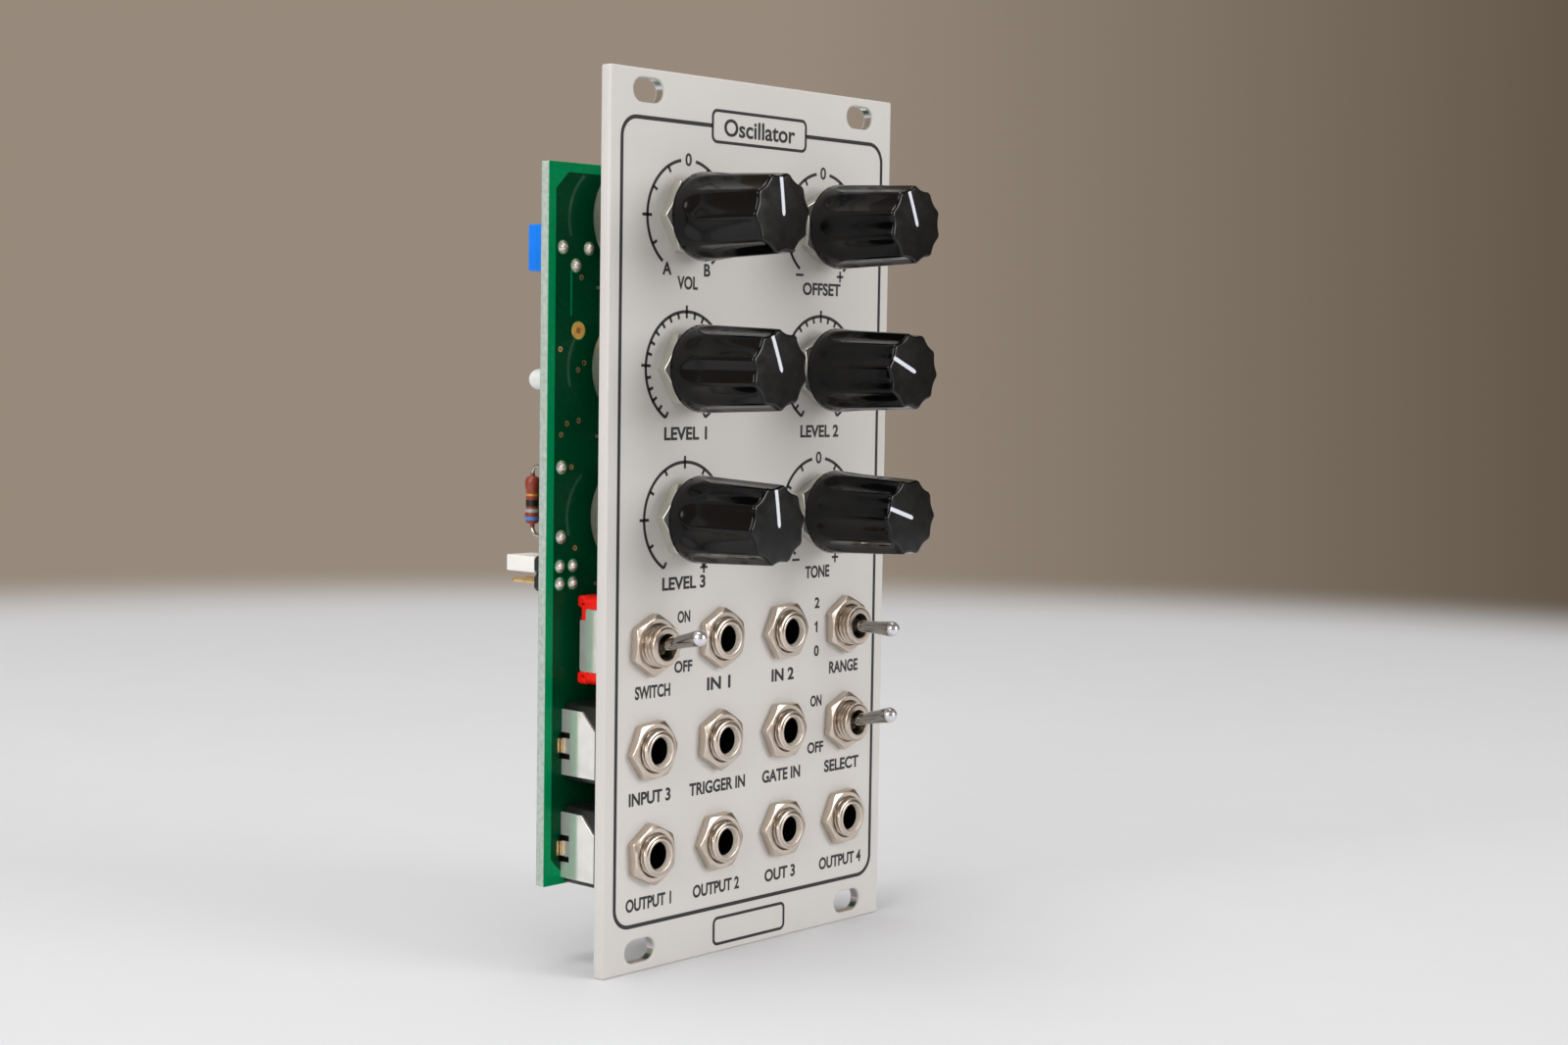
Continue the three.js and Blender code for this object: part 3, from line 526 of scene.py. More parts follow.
    def line(self, path: Sequence[Point], width: float, front: float, back: float,
             closed: bool = False) -> None:
        """Lay a flat line along points of a plane across Y.

        Args:
            path: its middle.
            width: across it.
            front, back: its two depths.
            closed: whether it returns to its start.
        """
        points = [Vector(p) for p in path]
        edges = [(b - a).normalized() for a, b in zip(points, points[1:] + points[:1])]
        rings = []
        for i, here in enumerate(points):
            into = edges[i - 1] if i or closed else edges[0]
            out = edges[i] if i < len(points) - 1 or closed else into
            mitre = aside(into, out, 0.3) * width / 2
            a, b = here + mitre, here - mitre
            rings.append([Vector((p.x, level, p.y))
                          for p, level in ((a, front), (b, front), (b, back), (a, back))])
        self.rings(rings, closed)

    def wire(self, path: Sequence[Vector], radius: float, sides: int = 14) -> None:
        """Run a round wire along a path in a plane across X.

        Args:
            path: its middle.
            radius: of the wire.
            sides: chords round it.
        """
        rings = []
        for i, here in enumerate(path):
            along = (path[min(i + 1, len(path) - 1)] - path[max(i - 1, 0)]).normalized()
            side = Vector((1, 0, 0))
            ring = [clock(ORIGIN, radius, 360 * k / sides) for k in range(sides)]
            rings.append([here + along.cross(side) * up + side * across for up, across in ring])
        self.rings(rings)

    def word(self, text: str, centre: Point, height: float, width: float, front: float,
             thickness: float, weight: float) -> None:
        """Print a word that reads from the front.

        Args:
            text: its letters.
            centre: of the whole word.
            height: of a capital.
            width: of the whole word, or nothing to keep the type's own.
            front: the depth of its face.
            thickness: of the ink.
            weight: how much bolder than the type.
        """
        curve = bpy.data.curves.new("word", "FONT")
        curve.body, curve.extrude, curve.offset = text, 0.5, weight
        holder = bpy.data.objects.new("word", curve)
        flat = bpy.data.meshes.new_from_object(holder)
        (left, right), (low, high) = (
            (min(v.co[i] for v in flat.vertices), max(v.co[i] for v in flat.vertices))
            for i in (0, 1))
        up = height / (high - low)
        across = width / (right - left) if width else up
        for vertex in flat.vertices:
            x, y, z = vertex.co
            vertex.co = ((x - (left + right) / 2) * across + centre[0],
                         front + (0.5 - z) * thickness, (y - (low + high) / 2) * up + centre[1])
        known = len(self.mesh.faces)
        self.mesh.from_mesh(flat)
        self.mesh.faces.ensure_lookup_table()
        for face in self.mesh.faces[known:]:
            face.material_index = self.index
        bpy.data.objects.remove(holder)
        bpy.data.meshes.remove(flat)
        bpy.data.curves.remove(curve)

    def finish(self, name: str, crease: float = 32.0) -> Mesh:
        """Close the mesh, in metres.

        Args:
            name: of the mesh.
            crease: degrees between faces above which their edge stays sharp.

        Returns:
            The mesh with its materials.
        """
        bmesh.ops.recalc_face_normals(self.mesh, faces=self.mesh.faces)
        bmesh.ops.scale(self.mesh, vec=(MM, MM, MM), verts=self.mesh.verts)
        mesh = bpy.data.meshes.new(name)
        self.mesh.to_mesh(mesh)
        self.mesh.free()
        for finish in self.finishes:
            mesh.materials.append(finish.material())
        mesh.shade_smooth()
        mesh.set_sharp_from_angle(angle=math.radians(crease))
        return mesh


def in_scene(name: str, data: ID) -> Object:
    """Put data in the scene as an object.

    Args:
        name: of the object.
        data: what the object shows.

    Returns:
        The object.
    """
    item = bpy.data.objects.new(name, data)
    bpy.context.scene.collection.objects.link(item)
    return item


def place(name: str, form: Shape | Mesh, slot: str, *nodes: str, body: str = "module",
          at: Point = ORIGIN, depth: float = 0.0, turn: float = 0.0, throw: float = 0.0) -> None:
    """Put a piece in the scene and tie it to its body.

    Args:
        name: of the piece.
        form: its finished mesh, or the shape to finish under its name.
        slot: not used.
        nodes: the CAD nodes that it replaces.
        body: what it rides on.
        at: x and z of its own origin, in mm.
        depth: how far its origin lies behind the panel's front, in mm.
        turn: degrees clockwise, as seen from the front.
        throw: degrees that what stands out to the front swings up.
    """
    mesh = form.finish(name) if isinstance(form, Shape) else form
    piece = in_scene(name, mesh)
    piece.location = (at[0] * MM, FRONT + depth * MM, at[1] * MM)
    piece.rotation_euler = (-math.radians(throw), math.radians(turn), 0)
    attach(piece, body)
    if nodes:
        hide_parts(*nodes)
    log.info("%s: %d faces on %s", name, len(mesh.polygons), body)


def sides_of(node: str) -> tuple[float, float, float, float]:
    """Return the left, right, bottom and top of a node's box, in mm."""
    low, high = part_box(node)
    return low.x / MM, high.x / MM, low.z / MM, high.z / MM


def centre_of(node: str) -> Point:
    """Return the middle of a node's box in the panel's plane, in mm."""
    left, right, bottom, top = sides_of(node)
    return (left + right) / 2, (bottom + top) / 2


@dataclass(frozen=True)
class Station:
    """A control's number and its place on the panel."""

    number: int
    x: float
    z: float

    @property
    def at(self) -> Point:
        """Its place as a pair."""
        return (self.x, self.z)


@dataclass(frozen=True)
class Layout:
    """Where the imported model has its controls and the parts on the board's back."""

    dials: list[Station]
    sockets: list[Station]
    toggles: list[Station]
    parts: dict[str, Point]

    @classmethod
    def read(cls) -> "Layout":
        """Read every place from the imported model.

        Returns:
            The layout of the whole module.
        """
        rows = [[Station(n, *centre_of(f"{node}_{n}")) for n in range(1, count + 1)]
                for node, count in (("pot_nut", 6), ("socket_nut", 9), ("toggle_nut", 3))]
        names = ("trimmer", "lamp", "resistor", "pin_header", "power_header")
        return cls(*rows, {name: centre_of(name) for name in names})


def thread(radius: float, pitch: float, depth: float, front: float,
           back: float) -> tuple[list[Point], Form]:
    """Describe a screw thread for Shape.turn.

    Args:
        radius: over the crests.
        pitch: from crest to crest.
        depth: from crest to root.
        front, back: where it starts and ends.

    Returns:
        Its profile and the change of radius with depth and angle.
    """
    steps = 10 * max(round((back - front) / pitch), 1)
    profile = [(radius, front + (back - front) * i / steps) for i in range(steps + 1)]

    def form(reach: float, level: float, angle: float) -> float:
        """Sink the groove between two crests, and fade the thread out at its ends.

        Args:
            reach: the radius before.
            level: the depth.
            angle: clockwise from the top, in radians.

        Returns:
            The radius there.
        """
        if reach < radius - 1e-6 or not front <= level <= back:
            return reach
        turn = math.tau * level / pitch - angle
        fade = min((level - front) / (pitch * 0.3), (back - level) / (pitch * 0.3), 1)
        return reach - depth * fade * (0.5 - 0.5 * math.cos(turn)) ** 1.5

    return profile, form


# ---------------------------------------------------------------- panel


@dataclass
class Panel:
    """The front panel with its rack slots and the ways for eighteen bushes."""

    left: float
    right: float
    bottom: float
    top: float
    thickness: float = 1.8
    corner: float = 0.3
    edge: float = 0.22
    slot_size: Point = (6.0, 3.4)
    slot_inset: Point = (7.5, 3.0)
    slot_chamfer: float = 0.38
    clearance: float = 0.15

    def build(self, layout: Layout) -> None:
        """Cut the slots and holes through one plate.

        Args:
            layout: where the controls stand.
        """
        outer = rounded(self.left, self.right, self.bottom, self.top, self.corner, 3)
        ways = [(DIAL_BUSH, control) for control in layout.dials]
        ways += [(SMALL_BUSH, control) for control in layout.toggles + layout.sockets]
        holes = [circle(bush + self.clearance, 40, control.at) for bush, control in ways]
        across, up = self.slot_inset
        slots = [self.slot(x, z) for x in (self.left + across, self.right - across)
                 for z in (self.bottom + up, self.top - up)]
        shape = Shape(PANEL_ALUMINIUM)
        e, back = self.edge, self.thickness
        shape.plate([outer, *holes, *slots], [
            (e + 0.05, 0), (e, 0), (e * 0.3, e * 0.3), (0, e),
            (0, back - 0.1), (0.03, back - 0.03), (0.1, back), (0.15, back)])
        shape.use(MILLED_ALUMINIUM)
        for slot in slots:
            shape.plate([slot, grown(slot, -0.03)], [(0, self.slot_chamfer), (0, back - e)])
        place("panel_plate", shape.finish("panel_plate", crease=50), "panel", "front_panel")

    def slot(self, x: float, z: float) -> Outline:
        """Outline one rack slot."""
        half, up = self.slot_size[0] / 2, self.slot_size[1] / 2
        return rounded(x - half, x + half, z - up, z + up, up, 14)


class Scale(Enum):
    """How a dial is marked: degrees from tick to tick, and which tick is long on either side."""

    ZERO_TOP = (0.0, 0)  # open at the top, with few ticks that are drawn one by one
    FINE = (12.5, 7)
    COARSE = (30.0, 3)


@dataclass
class Print:
    """Everything printed on the panel: frame line, boxes, dial scales and generic words.

    The frame and boxes say left, right, low and high from the panel's lower left corner.
    """

    panel: Panel
    ink: float = 0.02
    line_width: float = 0.58
    box_width: float = 0.4408
    frame: tuple[float, ...] = (2.28, 58.4, 6.8, 121.65)
    frame_corner: float = 2.85
    title_box: tuple[float, ...] = (20.4, 40.6, 119.4, 123.9)
    foot_box: tuple[float, ...] = (22.75, 38.2, 1.2, 5.1)
    arc_width: float = 0.47
    arc_radius: float = 8.13
    arc_end: float = 142.0
    arc_gap: float = 10.5
    tick_width: float = 0.423
    scale_end: float = 150.0
    zero_size: Point = (1.85, 1.3)
    zero_weight: float = 0.024
    capital: float = 1.92
    weight: float = 0.032
    word_shift: float = 0.1
    dial_drop: float = 9.35
    title_at: Point = (30.5, 121.6)
    title_size: Point = (2.55, 15.4)  # height of a capital, width of the word
    sign_width: float = 0.36
    sign_drop: float = 7.3
    kinds: Sequence[Scale] = (Scale.ZERO_TOP, Scale.ZERO_TOP, Scale.FINE, Scale.FINE,
                              Scale.COARSE, Scale.ZERO_TOP)
    # Each word with its width
    dial_words: Sequence[tuple[str, float]] = (
        ("VOL", 4.2), ("OFFSET", 8.7), ("LEVEL 1", 8.8), ("LEVEL 2", 8.8), ("LEVEL 3", 8.9),
        ("TONE", 5.6))
    # Each word with its width, and how far across and up from the switch it stands
    switch_words: Sequence[tuple[str, float, float, float]] = (
        ("SWITCH", 7.1, 0.45, -6.75), ("RANGE", 6.8, 0.15, -6.6), ("SELECT", 8.2, 0.07, -6.9))
    # Each word with its width and how far up from the socket it stands
    socket_words: Sequence[tuple[str, float, float]] = (
        ("IN 1", 5.0, -6.7), ("IN 2", 5.0, -6.7), ("INPUT 3", 8.4, -6.9),
        ("TRIGGER IN", 11.9, -6.9), ("GATE IN", 8.6, -6.9), ("OUTPUT 1", 9.2, -7.05),
        ("OUTPUT 2", 9.9, -7.05), ("OUT 3", 6.9, -7.05), ("OUTPUT 4", 10.0, -7.05))

    def build(self, layout: Layout) -> None:
        """Print the three screens: frame, dials and words.

        Args:
            layout: where the controls stand.
        """
        for name, draw in (("print_frame", self.frame_lines), ("print_dials", self.dial_scales),
                           ("print_words", self.words)):
            shape = Shape(PRINT_INK)
            draw(shape, layout)
            place(name, shape, "panel")

    def stroke(self, shape: Shape, path: Sequence[Point], width: float,
               closed: bool = False) -> None:
        """Draw one line of ink that stands just proud of the panel."""
        shape.line(path, width, -self.ink, self.ink, closed)

    def on_panel(self, sides: Sequence[float]) -> list[float]:
        """Move left, right, low and high from the panel's corner to the part's frame."""
        starts = (self.panel.left, self.panel.left, self.panel.bottom, self.panel.bottom)
        return [start + side for start, side in zip(starts, sides)]

    def frame_lines(self, shape: Shape, _: Layout) -> None:
        """Draw the frame round the controls, broken by the title box, and a bare box below.

        Args:
            shape: what takes the ink.
            _: the layout, which the frame does without.
        """
        box_left, box_right, *_ = self.on_panel(self.title_box)
        sides = self.on_panel(self.frame)
        around = rounded(*sides, self.frame_corner, 10)
        # The outline's second half starts at the left of its top line, which the title box breaks
        half, high = len(around) // 2, sides[3]
        path = [(box_left, high), *around[half:], *around[:half], (box_right, high)]
        self.stroke(shape, path, self.line_width)
        for box, corner in ((self.title_box, 0.9), (self.foot_box, 0.8)):
            self.stroke(shape, rounded(*self.on_panel(box), corner, 6), self.box_width, True)

    def tick(self, shape: Shape, dial: Station, turn: float, inner: float, outer: float) -> None:
        """Draw one tick across a dial's arc.

        Args:
            shape: what takes the ink.
            dial: the dial that the scale is for.
            turn: degrees clockwise from the top.
            inner, outer: how far it runs in and out from the arc.
        """
        ends = [clock(dial.at, reach, turn)
                for reach in (self.arc_radius - inner, self.arc_radius + outer)]
        self.stroke(shape, ends, self.tick_width)

    def arc(self, shape: Shape, dial: Station, start: float, end: float) -> None:
        """Draw part of a dial's circle in chords of about four degrees.

        Args:
            shape: what takes the ink.
            dial: the dial that the scale is for.
            start, end: degrees clockwise from the top.
        """
        count = int((end - start) / 4)
        path = [clock(dial.at, self.arc_radius, start + (end - start) * i / count)
                for i in range(count + 1)]
        self.stroke(shape, path, self.arc_width)

    def dial_scales(self, shape: Shape, layout: Layout) -> None:
        """Draw the six scales: arcs with ticks, and a zero where the arc is open at the top.

        Args:
            shape: what takes the ink.
            layout: where the controls stand.
        """
        for dial, kind in zip(layout.dials, self.kinds):
            if kind is Scale.ZERO_TOP:
                zero = (dial.x, dial.z + self.arc_radius + 0.07)
                shape.word("0", zero, *self.zero_size, -self.ink, 2 * self.ink,
                           self.zero_weight)
                for side in (-1, 1):
                    self.arc(shape, dial, *mirrored(side, self.arc_gap, self.arc_end))
                    for turn, outer in ((30, 0), (60, 0), (120, 0), (90, 1.0)):
                        self.tick(shape, dial, side * turn, 0.9 if outer else 1.0, outer)
                continue
            self.arc(shape, dial, -self.scale_end, self.scale_end)
            pitch, long = kind.value
            last = int(self.scale_end / pitch)
            for step in range(-last, last + 1):
                outer = 0.9 if step in (0, long, -long) else 0
                self.tick(shape, dial, step * pitch, 0.95, outer)

    def words(self, shape: Shape, layout: Layout) -> None:
        """Print the generic words and signs beside the controls.

        Args:
            shape: what takes the ink.
            layout: where the controls stand.
        """
        dials, toggles = layout.dials, layout.toggles
        # Each row: the word, its control, how far across and up from it, its height and width
        rows = [(text, dial, self.word_shift, -self.dial_drop, self.capital, width)
                for dial, (text, width) in zip(dials, self.dial_words)]
        rows += [(text, dials[0], dx, -7.4, 1.85, 0.0) for text, dx in (("A", -4.1), ("B", 4.1))]
        rows += [(text, toggle, dx, dz, self.capital, width)
                 for toggle, (text, width, dx, dz) in zip(toggles, self.switch_words)]
        rows += [(text, toggles[number], dx, dz, 1.75, width)
                 for number, dx in ((0, 6.65), (2, -6.2))
                 for text, dz, width in (("ON", 3.6, 2.6), ("OFF", -3.65, 3.7))]
        rows += [(text, toggles[1], -6.3, dz, 1.7, 0.0)
                 for text, dz in (("2", 3.72), ("1", 0.0), ("0", -3.72))]
        rows += [(text, socket, self.word_shift, dz, self.capital, width)
                 for socket, (text, width, dz) in zip(layout.sockets, self.socket_words)]
        for text, control, dx, dz, height, width in rows:
            centre = (control.x + dx, control.z + dz)
            shape.word(text, centre, height, width, -self.ink, 2 * self.ink, self.weight)
        title = (self.panel.left + self.title_at[0], self.panel.bottom + self.title_at[1])
        shape.word("Oscillator", title, *self.title_size, -self.ink, 2 * self.ink, 0.02)
        # Plus at the right of three dials and minus at the left of two; half a bar is 0.75 or 0.85
        for dial, minus, plus in ((dials[1], -5.0, 4.3), (dials[5], -4.9, 4.2),
                                  (dials[4], None, 4.2)):
            bars = [(plus, 0.75, 0), (plus, 0, 0.85)] + ([(minus, 0.85, 0)] if minus else [])
            for dx, across, up in bars:
                x, z = dial.x + dx, dial.z - self.sign_drop
                self.stroke(shape, [(x - across, z - up), (x + across, z + up)], self.sign_width)
        # A short stroke gives the figure one its flag
        x, z = toggles[1].x - 6.3, toggles[1].z + 0.72
        self.stroke(shape, [(x + 0.05, z), (x - 0.5, z - 0.42)], 0.27)


# ---------------------------------------------------------------- controls


@dataclass
class HexNut:
    """A plated hexagon nut with a chamfered front."""

    flats: float
    thickness: float
    bore: float  # radius
    sides: int = 120
    chamfer_angle: float = 28.0

    def mesh(self, name: str, finish: Finish) -> Mesh:
        """Build the nut with its back on the panel.

        Args:
            name: of the mesh.
            finish: of the nut.

        Returns:
            The mesh, in metres.
        """
        front, apothem, bore = -self.thickness, self.flats / 2, self.bore
        slope = math.tan(math.radians(self.chamfer_angle))
        turns = [math.tau * i / self.sides for i in range(self.sides)]

        def round_ring(reach: float, level: float) -> list[Vector]:
            """Place one round ring."""
            return [Vector((reach * math.sin(t), level, reach * math.cos(t))) for t in turns]

        def hex_ring(inset: float, level: Optional[float] = None, lift: float = 0) -> list[Vector]:
            """Place one hexagonal ring, its corners a little worn, at a level or on the chamfer.

            Args:
                inset: how far it is drawn in.
                level: its depth, or None on the chamfer.
                lift: how far it lies behind the chamfer.

            Returns:
                Its points.
            """
            ring = []
            for t in turns:
                off = math.radians(math.degrees(t) % 60 - 30)
                reach = min(apothem / math.cos(off), self.flats / math.sqrt(3) - 0.07) - inset
                slant = front + max(reach - apothem + 0.12, 0) * slope + lift
                ring.append(Vector((reach * math.sin(t), slant if level is None else level,
                                    reach * math.cos(t))))
            return ring

        shape = Shape(finish)
        shape.rings([
            round_ring(bore, front + 0.3), round_ring(bore + 0.3, front),
            round_ring(apothem - 0.25, front), round_ring(apothem - 0.16, front),
            hex_ring(0.06), hex_ring(0, lift=0.07), hex_ring(0, -0.1), hex_ring(0.1, 0.0),
            round_ring(bore, 0)], closed=True)
        return shape.finish(name, crease=24)


@dataclass
class Potentiometer:
    """A potentiometer: threaded bush, drawn can, wafer and three pins to the board."""

    bush_reach: float = 2.4
    bore: float = 3.1
    can: float = 8.4
    can_ends: Point = (1.8, 11.2)
    edge: float = 0.7
    groove: Point = (1.6, 2.6)  # in from the can's side, a ring pressed into its back
    groove_depth: float = 0.18
    wafer: Point = (3.2, 4.4)
    wafer_half: float = 6.5
    wafer_foot: float = -11.0
    pin_half: float = 0.4
    pin_rivet: float = 0.95

    def mesh(self) -> Mesh:
        """Build one potentiometer, its axis at x = z = 0.

        Returns:
            The mesh, in metres.
        """
        shape = Shape(NICKEL_PLATE)
        tip = -self.bush_reach
        profile, form = thread(DIAL_BUSH, pitch=0.75, depth=0.32, front=tip + 0.35, back=1.6)
        shape.turn([(self.bore, 5.1), (self.bore, tip + 0.2), (self.bore + 0.15, tip),
                    (DIAL_BUSH - 0.35, tip), *profile, (DIAL_BUSH, 1.9), (DIAL_BUSH + 0.3, 5.1)],
                   64, closed=True, form=form)
        shape.use(CAN_STEEL)
        e, r, (front, back) = self.edge, self.can, self.can_ends
        shoulder = [clock((r - e, front + e), e, 180 - d) for d in range(0, 91, 15)]
        heel = [clock((r - e, back - e), e, 90 - d) for d in range(0, 91, 15)]
        (outer, inner), pressed = self.groove, back - self.groove_depth
        shape.turn([(DIAL_BUSH, front), *shoulder, *heel, (r - outer, back),
                    (r - outer - 0.15, pressed), (r - inner, pressed), (r - inner - 0.15, back),
                    (0, back)], 96)
        for turn in (45, 135, 225, 315):
            self.rivet(shape, clock(ORIGIN, r - 3.8, turn), back, 0.85, 0.2, 0.1)
        shape.use(WAFER_PHENOLIC)
        shape.block((-self.wafer_half, self.wafer_half), self.wafer,
                    (self.wafer_foot, -self.can / 2), 0.12)
        # The pins take the darker, browner tin, so that they stay dim
        shape.use(DIMMED_TIN)
        middle, face = sum(self.wafer) / 2, self.wafer[1]
        half = self.pin_half
        for x, z in POT_PINS:
            shape.block((x - half, x + half), (middle, PIN_END), (z - 0.25, z + 0.25), 0.08)
            self.rivet(shape, (x, z + 1.3), face, self.pin_rivet, 0.3, 0.2)
        return shape.finish("pot", crease=30)

    def rivet(self, shape: Shape, at: Point, face: float, radius: float, height: float,
              sunk: float) -> None:
        """Head a rivet that stands up from a face and is sunk into it.

        Args:
            shape: what takes the form.
            at: its middle.
            face: the face's depth.
            radius: of its head.
            height, sunk: how far it stands up and goes in.
        """
        top, foot = face + height, face - sunk
        shape.turn([(0, top + 0.05), (radius - 0.25, top), (radius, face), (radius, foot),
                    (0, foot)], 20, at=at)


@dataclass
class FlutedKnob:
    """A tapered black knob with ten flutes that run out above its skirt, and a white pointer."""

    height: float = 15.7
    base: float = 6.35
    top: float = 5.7
    crown: float = 0.14
    shoulder: float = 0.42
    flutes: int = 10
    flute_half: float = 1.56
    flute_depth: float = 0.46
    run_out: float = 5.1
    recess: Point = (4.3, 1.6)
    bore: Point = (3.3, 11.7)
    pointer_width: float = 0.62
    proud: float = 0.025
    sides: int = 260

    def dome(self, reach: float) -> float:
        """Return the depth of the crowned cap at a distance from its middle."""
        return self.proud - self.height + self.crown * (reach / self.top) ** 2

    def wall(self, level: float) -> Point:
        """Return a point of the tapered wall."""
        return self.top + (self.base - self.top) * (level + self.height) / self.height, level

    def cut(self, reach: float, level: float, angle: float) -> float:
        """Sink a flute in the outside: a hollow that ends in a round bowl above the skirt.

        Args:
            reach: the radius before.
            level: the depth.
            angle: clockwise from the top, in radians.

        Returns:
            The radius that is left.
        """
        inside = reach <= self.recess[0] + 0.25 and level > -self.bore[1] - 0.1
        pitch = math.tau / self.flutes
        across = ((angle + pitch / 2) % pitch - pitch / 2) * self.top
        past = max(0.0, level + self.run_out) * 0.5
        share = (across * across + past * past) / self.flute_half ** 2
        if inside or reach < self.top - 1.2 or share >= 1:
            return reach
        return reach - self.flute_depth * (1 - share) ** 1.1

    def body(self) -> Mesh:
        """Build the knob with its skirt's foot at y = 0.

        Returns:
            The mesh, in metres.
        """
        rim = self.top - self.shoulder
        cap = [(r, self.dome(r)) for r in (0.0, 1.5, 3.0, 4.2, rim - 0.08, rim)]
        edge = [clock((rim, self.dome(rim) + self.shoulder), self.shoulder, 180 - d)
                for d in (22, 45, 68, 90)]
        levels = [1.2 - self.height, -12, -9, -7, *(0.3 * i - self.run_out for i in range(-2, 13))]
        side = [*map(self.wall, levels), self.wall(-0.35), (self.base - 0.1, -0.1),
                (self.base - 0.35, 0)]
        (wide, shallow), (narrow, deep) = self.recess, self.bore
        inside = [(wide + 0.2, 0), (wide, -0.2), (wide, -shallow), (narrow, -shallow),
                  (narrow, -deep), (0, -deep)]
        shape = Shape(KNOB_PHENOLIC)
        shape.turn(cap + edge + side + inside, self.sides, form=self.cut)
        # The cap takes the greyer phenolic, whose lighter colour is painted sheen
        shape.refinish(CAP_PHENOLIC, self.dome(rim) + 0.02)
        return shape.finish("knob_body", crease=40)

    def pointer(self) -> Mesh:
        """Build the pointer line that lies in the cap from its middle to its rim.

        Returns:
            The mesh, in metres.
        """
        half, end = self.pointer_width / 2, self.top - self.flute_depth - 0.22
        rings = []
        for i in range(14):
            reach = (end + half) * i / 13 - half
            wide = half if reach > 0 else math.sqrt(max(half * half - reach * reach, 0.02))
            level = self.dome(abs(reach))
            front, back = level - self.proud, level + 0.15
            rings.append([Vector((x, y, reach)) for x, y in (
                (-wide, front), (wide, front), (wide, back), (-wide, back))])
        shape = Shape(POINTER_ENAMEL)
        shape.rings(rings)
        return shape.finish("knob_pointer", crease=40)


@dataclass
class Socket:
    """A 3.5 mm socket: bush with a rolled mouth, moulded case, folded side plate and pins."""

    reach: float = 2.5
    mouth: float = 2.12
    bore: float = 2.0
    bore_end: float = 7.1
    half: float = 4.75
    ends: Point = (-5.4, 5.9)
    case: Point = (1.8, 12.8)
    plate: float = 0.3
    plate_ends: Point = (-4.7, 4.95)
    plate_length: float = 7.0
    plate_cut: float = 2.7
    tongue: float = -0.4
    tongue_half: float = 1.05
    pin_half: float = 0.7
    foot_half: float = 3.6
    foot: float = 0.8

    def mesh(self) -> Mesh:
        """Build one socket, its axis at x = z = 0.

        Returns:
            The mesh, in metres.
        """
        shape = Shape(NICKEL_PLATE)
        tip, mouth, bore = -self.reach, self.mouth, self.bore
        # The real pitch, 0.5 mm, is too fine to show at this distance, so it is drawn coarser
        profile, form = thread(SMALL_BUSH, pitch=0.62, depth=0.44, front=tip + 0.24, back=1.5)
        lip = [(0.05, 0.03), (0.12, 0.0), (0.36, 0.01), (0.46, 0.06), (0.52, 0.14)]
        shape.turn([(mouth, 2.2), (mouth, tip + 0.1), *((mouth + a, tip + b) for a, b in lip),
                    (2.78, tip + 0.22), *profile, (SMALL_BUSH, 2.2)], 96, closed=True, form=form)
        # Painted light: the mouth's inner cone in the near-white plate, so that it shows bright
        shape.use(MOUTH_PLATE)
        shape.turn([(bore, 2.1), (bore, tip + 0.9), (mouth - 0.02, tip + 0.14),
                    (mouth + 0.05, tip + 0.1), (mouth + 0.05, 2.1)], 96, closed=True)
        # Painted shade: a black lining down the bore, behind the bright mouth
        shape.use(PAINTED_SHADE_BLACK)
        lining, end = tip + 0.91, self.bore_end
        shape.turn([(0, end), (bore - 0.03, end), (bore - 0.03, lining), (bore + 0.3, lining),
                    (bore + 0.3, end + 0.3), (0, end + 0.3)], 64)
        self.case_into(shape)
        self.plate_into(shape)
        shape.use(TIN_PLATE)
        for x, z in SOCKET_PINS[:2]:
            shape.block((x - 0.14, x + 0.14), (BOARD_FRONT - 0.4, PIN_END),
                        (z - self.pin_half, z + self.pin_half), 0.06)
        x, z = SOCKET_PINS[2]
        back = self.case[1]
        shape.block((x - self.pin_half, x + self.pin_half), (back - 1, PIN_END),
                    (z - 0.2, z + 0.2), 0.08)
        shape.block((self.half - 0.05, self.half + self.plate), (BOARD_FRONT - 5.5, back),
                    (-1.6, 1.6), 0.08)
        return shape.finish("socket", crease=30)

    def case_into(self, shape: Shape) -> None:
        """Mould the case with the two feet that stand on the board.

        Args:
            shape: what takes the form.
        """
        (front, back), (low, high) = self.case, self.ends
        shape.use(CASE_BLACK)
        shape.block((0.02 - self.half, self.half), (front, back), (low, high), 0.25)
        for z in (low + 0.6, high - 0.6 - self.foot):
            shape.block((-self.foot_half, self.foot_half), (back - 0.3, BOARD_FRONT),
                        (z, z + self.foot), 0.1)

    def plate_into(self, shape: Shape) -> None:
        """Fold the side plate with its two slits, filled black as painted shade, and the gold
        tongue between them.

        Args:
            shape: what takes the form.
        """
        left, back, middle = -self.half - self.plate, BOARD_FRONT, self.tongue
        (bottom, top), front = self.plate_ends, back - self.plate_length
        outline = [(front, bottom), (back, bottom)]
        for low in (middle - 1.95, middle + 1.15):
            outline += [(back, low), (back - 1.75, low), (back - 1.75, low + 0.8),
                        (back, low + 0.8)]
        outline += [(back, top), (front + self.plate_cut, top), (front, top - self.plate_cut)]
        shape.use(TIN_PLATE)
        shape.plate([outline], [(0.06, left), (0, left + 0.06), (0, 0.25 - self.half)], Axis.X)
        # Black blocks fill both slits and stand a little out of them: the case's lugs, darkened to
        # painted shade
        shape.use(PAINTED_SHADE_BLACK)
        for low in (middle - 1.9, middle + 1.2):
            for out, length in ((0.45, 0.35), (0.02, 1.72)):
                shape.block((left - out, left + 0.25), (back - length, back - 0.02),
                            (low, low + 0.7), 0.05)
        shape.use(GOLD_FLASH)
        half = self.tongue_half
        shape.block((left - 0.3, left - 0.02), (back - 0.3, back - 0.02),
                    (middle - half, middle + half), 0.05)
        shape.block((left - 0.8, left - 0.42), (back - 0.1, back - 0.01),
                    (middle - half - 0.05, middle + half + 0.05), 0.04)


